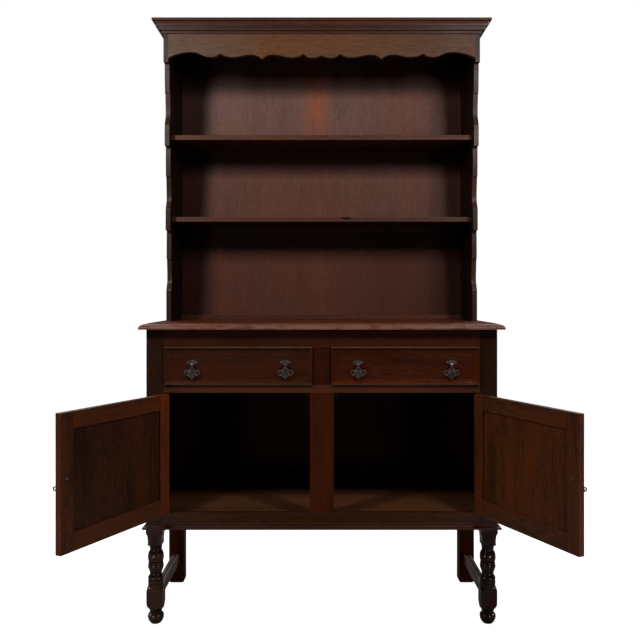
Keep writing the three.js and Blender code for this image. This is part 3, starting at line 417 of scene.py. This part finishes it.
def door_finish(name, side, label, base, shift):
    """Stiles with upright grain and rails with level grain, parted by a fine joint line."""
    material, tree, shader = tree_of(name)
    g = Graph(tree)
    place = door_coords(side)(g)
    x = g.split(place)[0]
    upright = grain(g, place, "Z", shift)
    level = grain(g, place, "X", shift + DOOR_RAIL_SHIFT)
    near, far = door_span(side, label)
    middle = (near + far) / 2
    half = (far - near) / 2 - DOOR_STILE
    offset = g.absolute(g.minus(x, middle))
    rail = g.under(offset, half)
    hinge_stile = g.under(x, middle - half)
    stile_colour = g.tinted(toned(g, upright, base, FRONT_CONTRAST),
                            (hinge_stile, HINGE_STILE_TINTS[label]))
    rail_colour = toned(g, level, scaled(base, *DOOR_RAIL_TINT), FRONT_CONTRAST)
    joint = dark_line(g, g.minus(offset, half), JOINT_LINE, DOOR_JOINT_DEPTH)
    wood = g.mix(rail, stile_colour, rail_colour)
    colour = g.mix(joint, wood, scaled(base, DOOR_JOINT_TONE))
    stile_pores = g.times(upright[2], g.minus(1.0, rail))
    pores = g.plus(stile_pores, g.times(level[2], rail))
    height = g.minus(0.0, g.plus(pores, joint))
    set_surface(g, shader, colour, patchy_gloss(g, place, FRONT_GLOSS), SHINE, height)
    return material


# Drawer fronts
DRAWER_UPRIGHT_SHIFT = 1.3
MOULDING_WIDTH = 0.016
MOULDING_CONTRAST = 0.5
MOULDING_SMOOTHER = 0.18
BEAD_RANGE, BEAD_SHARE = (0.0045, 0.002), 0.75
BEAD_NOISE = (24.0, 3.0)
BEAD_NOISE_RANGE = (0.3, 0.55, 0.5, 1.0)
DRAWER_MITRE_DEPTH = 0.8
# Painted shade along the moulding's inner edge: where it lies, how dark it is and its tone.
MOULDING_SHADE_PLACE = 0.0165
MOULDING_SHADE_DEPTH, MOULDING_SHADE_TONE = 0.65, 0.22


def drawer_finish(name, label, base, shift):
    """Level grain on the face, with a mitred moulding round it."""
    low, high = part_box(f"drawer_front_{label}")
    material, tree, shader = tree_of(name)
    g = Graph(tree)
    place = g.place()
    x, _, z = g.split(place)

    def from_edge(part, start, end):
        """How far a place is from the nearer of two opposite edges."""
        return g.minus((end - start) / 2, g.absolute(g.minus(part, (start + end) / 2)))

    from_side = from_edge(x, low.x, high.x)
    from_top = from_edge(z, low.z, high.z)
    from_any = g.math("MINIMUM", from_side, from_top)
    moulding = g.under(from_any, MOULDING_WIDTH)
    on_upright = g.times(g.under(from_side, from_top), g.under(from_side, MOULDING_WIDTH))

    level = grain(g, place, "X", shift)
    upright = grain(g, place, "Z", shift + DRAWER_UPRIGHT_SHIFT)
    # The moulding is paler and greyer than the face: a painted highlight.
    moulding_base = scaled(base, *DRAWER_MOULDING_HIGHLIGHT_TINT)
    moulding_colour = g.mix(on_upright, toned(g, level, moulding_base, MOULDING_CONTRAST),
                            toned(g, upright, moulding_base, MOULDING_CONTRAST))
    colour = g.mix(moulding, toned(g, level, base, FRONT_CONTRAST), moulding_colour)
    # Paler near the top and bottom edges: partly wear, partly a painted highlight on the bead.
    bead = g.times(g.ramp(from_top, *BEAD_RANGE, 0.0, BEAD_SHARE),
                   g.ramp(g.noise(place, *BEAD_NOISE), *BEAD_NOISE_RANGE))
    colour = g.mix(bead, colour, BEAD_WEAR_AND_HIGHLIGHT)
    mitre = dark_line(g, g.minus(from_side, from_top), DRAWER_MITRE_LINE, DRAWER_MITRE_DEPTH)
    # A painted shade line where the moulding's hollow meets the face.
    moulding_shade = dark_line(g, g.minus(from_any, MOULDING_SHADE_PLACE), MOULDING_SHADE_LINE, MOULDING_SHADE_DEPTH)
    dark = g.larger(g.times(mitre, moulding), moulding_shade)
    colour = g.mix(dark, colour, scaled(base, MOULDING_SHADE_TONE))
    rough = g.minus(patchy_gloss(g, place, DRAWER_GLOSS), g.times(moulding, MOULDING_SMOOTHER))
    set_surface(g, shader, colour, rough, DRAWER_SHINE, g.minus(0.0, level[2]))
    return material


# Undersides, which get painted shade: from which height of the normal a face counts as facing
# down.
DOWN_RANGE = (-0.86, -0.97)


def facing_down(g):
    """1 where a fixed piece faces down, 0 where it doesn't."""
    return g.ramp(g.facing_up(), *DOWN_RANGE)


# Cornice
CORNICE_SHIFTS = {"front": 4.4, "return": 5.2}
CORNICE_CONTRAST = 0.7
CORNICE_MITRE_DEPTH, CORNICE_MITRE_TONE = 0.8, 0.3
LIP_FOOT, LIP_FULL = 0.021, 0.013


def cornice_finish(name, base):
    """Grain along the front run and along each return, parted at the mitres."""
    low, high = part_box("cornice")
    material, tree, shader = tree_of(name)
    g = Graph(tree)
    place = g.place()
    x, y, z = g.split(place)
    from_side = g.minus(high.x, g.absolute(x))
    from_front = g.minus(y, low.y)
    on_return = g.under(from_side, from_front)
    front = toned(g, grain(g, place, "X", CORNICE_SHIFTS["front"]), base, CORNICE_CONTRAST)
    back = toned(g, grain(g, place, "Y", CORNICE_SHIFTS["return"]), base, CORNICE_CONTRAST)
    wood = g.mix(on_return, front, back)
    mitre = dark_line(g, g.minus(from_side, from_front), JOINT_LINE, CORNICE_MITRE_DEPTH)
    colour = g.mix(mitre, wood, scaled(base, CORNICE_MITRE_TONE))
    # Painted highlight on the lip, painted shade in the cove and on the undersides.
    lip = g.ramp(z, high.z - LIP_FOOT, high.z - LIP_FULL)
    colour = g.tinted(colour, (lip, LIP_HIGHLIGHT_TINT), (g.minus(1.0, lip), COVE_SHADE_TINT),
                      (facing_down(g), SHADE_TINT))
    set_surface(g, shader, colour, patchy_gloss(g, place, FRONT_GLOSS), SHINE)
    return material


# What oak() adds on single pieces. Each function takes and gives back a colour and a height.

# Lower shelf
CHIP_PLACE = (0.079, 0.211, 1.222)
CHIP_STRETCH = (0.42, 1.0, 1.0)
CHIP_NOISE = (260.0, 3.0)
CHIP_RAGGED = 0.005
CHIP_EDGE = (0.0075, 0.010)
CHIP_DEPTH = 3.0

# Back boarding: where along x or z each tint starts and where it is full. The streak is a stain
# and the other tints are painted shade.
STREAK_PLACE = -0.004
STREAK_HALF = 0.065
STREAK_BEND, STREAK_BEND_NOISE = 0.03, ((1.0, 1.0, 3.0), 2.0)
STREAK_PATCHES, STREAK_PATCH_RANGE = ((90.0, 1.0, 9.0), 1.0, 4.0, 0.65), (0.3, 0.62, 0.3, 0.9)
STREAK_RISE = (1.42, 1.60, 0.12, 1.0)
MIDDLE_FALL = (1.62, 1.40)
LOW_FALL = (1.30, 1.05)
RIGHT_ACROSS, RIGHT_RISE = (0.05, 0.30), (1.42, 1.55)
LOW_RIGHT_ACROSS, LOW_RIGHT_FALL = (0.0, 0.30), (1.28, 1.12)
LEFT_CORNER = (-0.345, -0.405)
RIGHT_CORNER = (0.345, 0.405, 0.0, 0.72)

# Shade under the frieze and the shelves: how far below them it starts and where it is full.
FRIEZE_SHADE = (0.075, 0.01)
SHELF_SHADE = (0.105, 0.035)
SHELF_OVERLAP = 0.005

# Cupboard, rack sides, frieze, top and stretchers
# How much of a piece's own colour stays under the painted cupboard shade.
CUPBOARD_SHADE_LEFT = 0.07
SKIN = 0.5 * MM
FRIEZE_LEFT, FRIEZE_RIGHT = (-0.12, -0.36), (0.12, 0.36)
TOP_EDGE_DROP = (0.5 * MM, 2.5 * MM)
TOP_EDGE_NOISE, TOP_EDGE_RANGE = ((16.0, 60.0, 60.0), 1.5, 4.0, 0.6), (0.36, 0.58, 0.3, 1.0)
TOP_EDGE_LEFT = 0.2
# Painted reflection on the stretchers' upper sides: its noise, how far up a face must turn, and
# where it fades.
REFLECTION_NOISE, REFLECTION_NOISE_RANGE = ((30.0, 6.0, 30.0), 1.5, 3.0), (0.3, 0.6, 0.6, 1.0)
REFLECTION_UPWARD = (0.1, 0.8)
REFLECTION_DEPTH, REFLECTION_ACROSS = (0.28, -0.12, 0.12, 1.0), (-0.1, 0.1, 1.0, 0.75)

# Turned legs: radii of grooves and swells. The plain block lies between two shares of the height.
GROOVE_RADII = (0.0232, 0.0195)
SWELL_RADII = (0.0235, 0.0262)
CAPITAL_HEIGHT = 0.052
BLOCK_SPAN = (0.18, 0.48)


def shaded_below(g, place, colour, height):
    """Shelf: painted shade darkens its underside."""
    return g.tinted(colour, (facing_down(g), SHADE_TINT)), height


def chipped_shelf(g, place, colour, height):
    """The lower shelf: painted shade below, with a small dark chip on its front edge."""
    colour, height = shaded_below(g, place, colour, height)
    offset = g.vector("MULTIPLY", g.vector("SUBTRACT", place, CHIP_PLACE), CHIP_STRETCH)
    ragged = g.times(g.noise(place, *CHIP_NOISE), CHIP_RAGGED)
    chip = g.ramp(g.plus(g.vector("LENGTH", offset), ragged), *CHIP_EDGE, 1.0, 0.0)
    return g.mix(chip, colour, CHIP), g.minus(height, g.times(chip, CHIP_DEPTH))


def shaded_within(g, place, colour, height):
    """Wood that is dark and dull on the side that faces into the cupboard: painted shade."""
    x, y, _ = g.split(place)
    inside = g.times(g.under(g.absolute(x), CUPBOARD_HALF), g.under(y, CUPBOARD_BACK))
    return g.mix(inside, colour, g.mix(CUPBOARD_SHADE_LEFT, CUPBOARD_SHADE, colour)), height


def streaked(g, place, colour, height):
    """Back boarding: its face is redder and darker lower down and on the right, and dark in the
    corners, all painted shade, with a warm streak.
    """
    x, y, z = g.split(place)
    plain = colour
    # Painted shade: darker lower down and on the right.
    right = g.times(g.ramp(x, *RIGHT_ACROSS), g.ramp(z, *RIGHT_RISE))
    low_right = g.times(g.ramp(x, *LOW_RIGHT_ACROSS), g.ramp(z, *LOW_RIGHT_FALL))
    colour = g.tinted(colour, (g.ramp(z, *MIDDLE_FALL), BACK_MIDDLE_SHADE_TINT),
                      (g.ramp(z, *LOW_FALL), BACK_LOW_SHADE_TINT),
                      (right, BACK_RIGHT_SHADE_TINT), (low_right, BACK_LOW_RIGHT_SHADE_TINT))

    bend = g.times(g.drawn_noise(place, *STREAK_BEND_NOISE), STREAK_BEND)
    off = g.absolute(g.plus(g.minus(x, STREAK_PLACE), bend))
    patches = g.ramp(g.drawn_noise(place, *STREAK_PATCHES), *STREAK_PATCH_RANGE)
    band = g.times(g.ramp(off, 0.0, STREAK_HALF, 1.0, 0.0), g.ramp(z, *STREAK_RISE))
    colour = g.mix(g.times(band, patches), colour, STREAK)

    # Painted shadow: the rack sides darken the corners, and the frieze and shelves darken the
    # boarding below them.
    corners = g.larger(g.ramp(x, *LEFT_CORNER), g.ramp(x, *RIGHT_CORNER))
    shade = g.ramp(z, *(FRIEZE_FOOT - drop for drop in FRIEZE_SHADE))
    for underside in UNDERSIDES:
        below = g.times(g.ramp(z, *(underside - drop for drop in SHELF_SHADE)),
                        g.under(z, underside + SHELF_OVERLAP))
        shade = g.larger(shade, below)
    colour = g.tinted(colour, (corners, CORNER_SHADOW_TINT), (shade, SHADE_TINT))
    return g.mix(g.under(y, RACK_BACK_MIDDLE), plain, colour), height


def side_shaded(g, place, colour, height):
    """Rack side: its inner face is darker and redder than its edges, a painted shade."""
    inner = g.under(g.absolute(g.split(place)[0]), RACK_INNER + SKIN)
    return g.tinted(colour, (inner, SIDE_INNER_SHADE_TINT)), height


def frieze_shaded(g, place, colour, height):
    """Frieze: greyer on the left, a painted sheen, and darker on the right."""
    x = g.split(place)[0]
    return g.tinted(colour, (g.ramp(x, *FRIEZE_LEFT), FRIEZE_SHEEN_TINT),
                    (g.ramp(x, *FRIEZE_RIGHT), FRIEZE_RIGHT_TINT)), height


def worn_and_highlit_edge(g, place, colour, height):
    """Top of the base: its moulded edge is paler than its flat, partly by wear and partly by a
    painted highlight.
    """
    z = g.split(place)[2]
    lightened = g.ramp(g.drawn_noise(place, *TOP_EDGE_NOISE), *TOP_EDGE_RANGE)
    edge = g.times(g.ramp(z, *(TOP_SURFACE - drop for drop in TOP_EDGE_DROP)), lightened)
    return g.mix(edge, colour, g.mix(TOP_EDGE_LEFT, TOP_EDGE_WEAR_AND_HIGHLIGHT, colour)), height


def reflecting_top(g, place, colour, height):
    """Stretcher: a painted reflection makes its upper side pale grey, most of all near the front.
    """
    x, y, _ = g.split(place)
    lightened = g.ramp(g.drawn_noise(place, *REFLECTION_NOISE), *REFLECTION_NOISE_RANGE)
    above = g.times(g.ramp(g.facing_up(), *REFLECTION_UPWARD), lightened)
    near = g.times(g.ramp(y, *REFLECTION_DEPTH), g.ramp(x, *REFLECTION_ACROSS))
    return g.mix(g.times(above, near), colour, STRETCHER_REFLECTION), height


def grooved(label):
    """Turned leg: painted shade darkens its grooves and necks, and a painted highlight lightens
    its swells.
    """
    low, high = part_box(f"front_leg_{label}")
    axis_x, axis_y = (low.x + high.x) / 2, (low.y + high.y) / 2
    block_low, block_high = (share * (high.z - CAPITAL_HEIGHT) for share in BLOCK_SPAN)

    def extra(g, place, colour, height):
        x, y, z = g.split(place)
        radius = g.vector("LENGTH", g.join(g.minus(x, axis_x), g.minus(y, axis_y), 0.0))
        off_block = g.larger(g.under(z, block_low), g.math("GREATER_THAN", z, block_high))
        lightened = g.times(g.ramp(radius, *SWELL_RADII), off_block)
        groove_shade = g.ramp(radius, *GROOVE_RADII)
        return g.tinted(colour, (groove_shade, GROOVE_SHADE_TINT), (lightened, SWELL_HIGHLIGHT_TINT)), height

    return extra


# Finishes on the pieces


def set_finish(name, material, edge=None):
    """Gives a piece its finish, and a second one for its softened arrises."""
    data = nodes[name].data
    data.materials.clear()
    data.materials.append(material)
    if edge:
        data.materials.append(edge)


# Arris finishes: paler by wear, and partly by a painted highlight on the rounded edges.
worn_highlit_edge = oak("edge_wear_and_painted_highlight", EDGE_WEAR_AND_HIGHLIGHT, "X", 2.0, gloss=0.45, contrast=0.6)
worn_highlit_edge_dark = oak("dark_edge_wear_and_painted_highlight", scaled(FRAME, 1.5), "X", 2.6, gloss=0.4, contrast=0.6)
bronze = metal("aged_bronze", BRONZE_DULL, BRONZE_BRIGHT, 0.28)
steel = metal("hinge_steel", STEEL_DULL, STEEL_BRIGHT, 0.45)

CUPBOARD_SIDE = {"gloss": 0.5, "contrast": 0.8, "wild": 1.4, "extra": shaded_within, "shine": 0.05}
LEG = {"gloss": 0.15, "contrast": 0.5, "shine": 0.24}

# Name, colour, direction of the grain, its shift, and what else is special about each.
PLAIN = {
    "base_top": oak("oak_top", TOP, "X", 0.3, gloss=0.33, contrast=1.0, extra=worn_and_highlit_edge),
    "front_post_left": oak("oak_post_a", POST_LEFT, "Z", 1.1),
    "front_post_right": oak("oak_post_b", POST_RIGHT, "Z", 1.9),
    "back_post_left": oak("oak_post_c", BACK_POST, "Z", 2.3, gloss=0.5, shine=0.04),
    "back_post_right": oak("oak_post_d", BACK_POST, "Z", 2.9, gloss=0.5, shine=0.04),
    "top_rail": oak("oak_rail_a", FRAME, "X", 3.1),
    "mid_rail": oak("oak_rail_b", MID_RAIL, "X", 3.7),
    "bottom_rail": oak("oak_rail_c", BOTTOM_RAIL, "X", 4.3),
    "drawer_muntin": oak("oak_muntin_a", DRAWER_MUNTIN, "Z", 4.9),
    "door_muntin": oak("oak_muntin_b", DOOR_MUNTIN, "Z", 5.3),
    "side_panel_left": oak("oak_side_a", FRAME, "Z", 5.9, **CUPBOARD_SIDE),
    "side_panel_right": oak("oak_side_b", FRAME, "Z", 6.1, **CUPBOARD_SIDE),
    "base_moulding": oak("oak_moulding", scaled(FRAME, 0.9), "X", 6.7, gloss=0.4),
    "rack_top_board": oak("oak_rack_top", CORNICE, "X", 7.3, gloss=0.72, shine=0.06),
    "shelf_upper": oak("oak_shelf_a", UPPER_SHELF, "X", 7.9, gloss=0.38, extra=shaded_below),
    "shelf_lower": oak("oak_shelf_b", LOWER_SHELF, "X", 8.3, gloss=0.38, extra=chipped_shelf),
    "rack_side_left": oak("oak_carved_a", SIDE, "Z", 8.9, gloss=0.38, extra=side_shaded),
    "rack_side_right": oak("oak_carved_b", SIDE, "Z", 9.1, gloss=0.38, extra=side_shaded),
    "frieze": oak("oak_frieze", FRIEZE, "X", 9.7, gloss=0.42, contrast=0.55, wild=0.8,
                  extra=frieze_shaded),
    "rack_back": oak("oak_back_a", BACKING, "Z", 10.3, gloss=0.5, contrast=0.36, wild=0.6,
                     extra=streaked),
    "rack_bottom_batten": oak("oak_batten", BATTEN, "X", 10.9, gloss=0.5),
    "base_back": oak("oak_back_b", BACKING, "Z", 11.3, gloss=0.7, extra=shaded_within, shine=0.02),
    "front_leg_left": oak("oak_leg_a", LEG_LEFT, "Z", 11.9, extra=grooved("left"), **LEG),
    "front_leg_right": oak("oak_leg_b", LEG_RIGHT, "Z", 12.1, extra=grooved("right"), **LEG),
    "stretcher_left": oak("oak_stretcher_a", STRETCHER, "Y", 12.7, gloss=0.3, extra=reflecting_top),
    "stretcher_right": oak("oak_stretcher_b", STRETCHER, "Y", 13.1, gloss=0.3, extra=reflecting_top),
    "floor_board": oak("oak_floor", FLOOR_BOARD, "X", 13.7, gloss=0.6),
    "dust_board": oak("oak_dust_board", INNER, "X", 14.1, gloss=0.6),
    "door_stop": oak("oak_stop", INNER, "X", 14.3, gloss=0.6),
}
for name, material in PLAIN.items():
    set_finish(name, material, worn_highlit_edge_dark if name in FRONT_BARS else worn_highlit_edge)
set_finish("cornice", cornice_finish("oak_cornice", CORNICE), worn_highlit_edge)
for label, side in SIDES:
    door = door_finish(f"oak_door_{label}", side, label, DOOR_FRAME, 15.0 + side)
    panel = oak(f"oak_panel_{label}", DOOR_PANELS[label], "Z", 17.0 + side, gloss=0.42,
                contrast=1.25, wild=1.2, coords=door_coords(side))
    drawer = drawer_finish(f"oak_drawer_{label}", label, DRAWERS[label], 19.0 + side)
    box = oak(f"oak_box_{label}", INNER, "Y", 21.0 + side, gloss=0.6)
    tray = oak(f"oak_tray_{label}", INNER, "X", 23.0 + side, gloss=0.6)
    set_finish(f"door_frame_{label}", door, worn_highlit_edge_dark)
    set_finish(f"door_panel_{label}", panel)
    set_finish(f"drawer_front_{label}", drawer, worn_highlit_edge_dark)
    set_finish(f"drawer_box_{label}", box)
    set_finish(f"drawer_bottom_{label}", tray)
for name in nodes:
    if name in HANDLES:
        set_finish(name, bronze)
    elif name.startswith("hinge"):
        set_finish(name, steel)


# Arrises
WELD_DISTANCE = 0.02 * MM
SMOOTH_GROUPS = {}


def smooth_group(degrees):
    """A modifier that shades a piece smooth except across edges sharper than an angle."""
    if degrees in SMOOTH_GROUPS:
        return SMOOTH_GROUPS[degrees]
    group = bpy.data.node_groups.new(f"shade_{degrees}", "GeometryNodeTree")
    for way in ("INPUT", "OUTPUT"):
        group.interface.new_socket("Geometry", in_out=way, socket_type="NodeSocketGeometry")
    start = group.nodes.new("NodeGroupInput")
    end = group.nodes.new("NodeGroupOutput")
    angle = group.nodes.new("GeometryNodeInputMeshEdgeAngle")
    below = group.nodes.new("FunctionNodeCompare")
    below.data_type = "FLOAT"
    below.operation = "LESS_EQUAL"
    below.inputs["B"].default_value = math.radians(degrees)
    group.links.new(angle.outputs["Unsigned Angle"], below.inputs["A"])
    edges = group.nodes.new("GeometryNodeSetShadeSmooth")
    edges.domain = "EDGE"
    faces = group.nodes.new("GeometryNodeSetShadeSmooth")
    faces.domain = "FACE"
    group.links.new(start.outputs[0], edges.inputs["Geometry"])
    group.links.new(below.outputs["Result"], edges.inputs["Shade Smooth"])
    group.links.new(edges.outputs[0], faces.inputs["Geometry"])
    group.links.new(faces.outputs[0], end.inputs[0])
    SMOOTH_GROUPS[degrees] = group
    return group


def soften(name, width, segments=2, angle=50, edge=False, smooth=36):
    """Rounds a piece's arrises and shades its curves smooth, with modifiers alone.

    The width is in millimetres and 0 leaves the arrises sharp. Edges past the angle, in
    degrees, are rounded, in the edge finish where edge is true. Shading is smooth across
    edges up to the smooth angle.
    """
    piece = nodes[name]
    weld = piece.modifiers.new("weld", "WELD")
    weld.merge_threshold = WELD_DISTANCE
    if width:
        bevel = piece.modifiers.new("arris", "BEVEL")
        bevel.width = width * MM
        bevel.segments = segments
        bevel.limit_method = "ANGLE"
        bevel.angle_limit = math.radians(angle)
        bevel.harden_normals = False
        bevel.use_clamp_overlap = True
        if edge:
            bevel.material = 1
    shade = piece.modifiers.new("shade", "NODES")
    shade.node_group = smooth_group(smooth)
    even = piece.modifiers.new("even", "WEIGHTED_NORMAL")
    even.keep_sharp = True


for name in nodes:
    if name in HANDLES:
        soften(name, 0.4, angle=40, smooth=50)
    elif name.startswith(("front_leg", "stretcher")):
        soften(name, 0, smooth=40)
    elif name.startswith("hinge"):
        soften(name, 0.2, segments=1, angle=40)
    elif name in ("cornice", "base_moulding", "base_top"):
        soften(name, 0.6, angle=40, edge=True, smooth=30)
    elif name.startswith(("shelf", "rack_side", "frieze")):
        soften(name, 1.0, edge=True, smooth=40)
    elif name.startswith("drawer_front"):
        soften(name, 0.5, angle=42, edge=True, smooth=30)
    elif name.startswith("door_frame"):
        soften(name, 0.8, edge=True, smooth=30)
    elif name in FRONT_BARS:
        soften(name, 0.9, edge=True)
    else:
        soften(name, 0.8)


# Floor, light and camera
WHITE = (1.0, 1.0, 1.0, 1.0)
FLOOR_COLOUR = (0.30, 0.30, 0.30, 1.0)
FLOOR_SIZE = 30.0
FLOOR_ROUGHNESS = 0.9
FILL = 0.04

# Two distances from the object, and what the camera sees of the floor at each.
FLOOR_GLOW = (0.7, 2.0, 0.945, 1.0)

# Name, place, target, width, height and watts.
LAMPS = (
    ("key_left", (-0.88, -0.9, 1.84), (0.0, 0.25, 1.0), 0.16, 0.36, 14.0),
    ("key_right", (0.77, -0.9, 1.84), (0.0, 0.25, 1.0), 0.16, 0.36, 12.5),
    ("low_left", (-1.05, -1.15, 0.14), (0.0, 0.1, 0.32), 0.3, 0.2, 3.0),
    ("low_right", (1.05, -1.15, 0.14), (0.0, 0.1, 0.32), 0.3, 0.2, 3.0),
    ("rear_left", (-1.9, 1.9, 2.5), (-0.2, 0.2, 0.9), 1.2, 1.2, 50.0),
    ("rear_right", (1.9, 1.9, 2.5), (0.2, 0.2, 0.9), 1.2, 1.2, 50.0),
)

CAMERA_PLACE = (-0.0053, -2.3216, 0.975)
FRAME_PIXELS = 640.0
FOCAL_PIXELS = 789.0
HORIZON_PIXELS = 25.0
SENSOR = 36.0


def floor_material(name):
    """A pale matt floor that the camera sees nearly white near the part and white far off."""
    material, tree, shader = tree_of(name)
    g = Graph(tree)
    shader.inputs["Base Color"].default_value = FLOOR_COLOUR
    shader.inputs["Roughness"].default_value = FLOOR_ROUGHNESS
    shader.inputs["Specular IOR Level"].default_value = 0.0
    shader.inputs["Emission Color"].default_value = WHITE
    glow = g.ramp(g.vector("LENGTH", g.place()), *FLOOR_GLOW)
    path = tree.nodes.new("ShaderNodeLightPath")
    g.link(g.times(path.outputs["Is Camera Ray"], glow), shader.inputs["Emission Strength"])
    return material


def add_world():
    """White where the camera sees it, and a weak fill light on the object."""
    world = bpy.data.worlds.new("studio")
    scene.world = world
    world.use_nodes = True
    tree = world.node_tree
    tree.nodes.clear()
    g = Graph(tree)
    out = tree.nodes.new("ShaderNodeOutputWorld")
    light = tree.nodes.new("ShaderNodeBackground")
    path = tree.nodes.new("ShaderNodeLightPath")
    light.inputs["Color"].default_value = WHITE
    seen = g.larger(path.outputs["Is Camera Ray"], path.outputs["Is Transmission Ray"])
    g.link(g.larger(seen, FILL), light.inputs["Strength"])
    tree.links.new(light.outputs[0], out.inputs[0])


def add_lamp(name, place, target, width, height, watts):
    """An area lamp that points at its target."""
    data = bpy.data.lights.new(name, "AREA")
    data.shape = "RECTANGLE"
    data.size = width
    data.size_y = height
    data.energy = watts
    lamp = bpy.data.objects.new(name, data)
    lamp.location = place
    lamp.rotation_euler = (Vector(target) - Vector(place)).to_track_quat("-Z", "Y").to_euler()
    scene.collection.objects.link(lamp)


def add_camera():
    """A level camera whose picture is shifted to put the horizon where the photograph's is."""
    data = bpy.data.cameras.new("camera")
    data.sensor_fit = "HORIZONTAL"
    data.sensor_width = SENSOR
    data.lens = SENSOR * FOCAL_PIXELS / FRAME_PIXELS
    data.shift_y = -HORIZON_PIXELS / FRAME_PIXELS
    camera = bpy.data.objects.new("camera", data)
    camera.location = CAMERA_PLACE
    camera.rotation_euler = (math.radians(90.0), 0.0, 0.0)
    scene.collection.objects.link(camera)
    scene.camera = camera


bpy.ops.mesh.primitive_plane_add(size=FLOOR_SIZE, location=(0.0, 0.0, 0.0))
floor = bpy.context.object
floor.name = "floor"
floor.data.materials.append(floor_material("pale_floor"))

add_world()
for lamp_settings in LAMPS:
    add_lamp(*lamp_settings)
add_camera()
scene.view_settings.view_transform = "Standard"
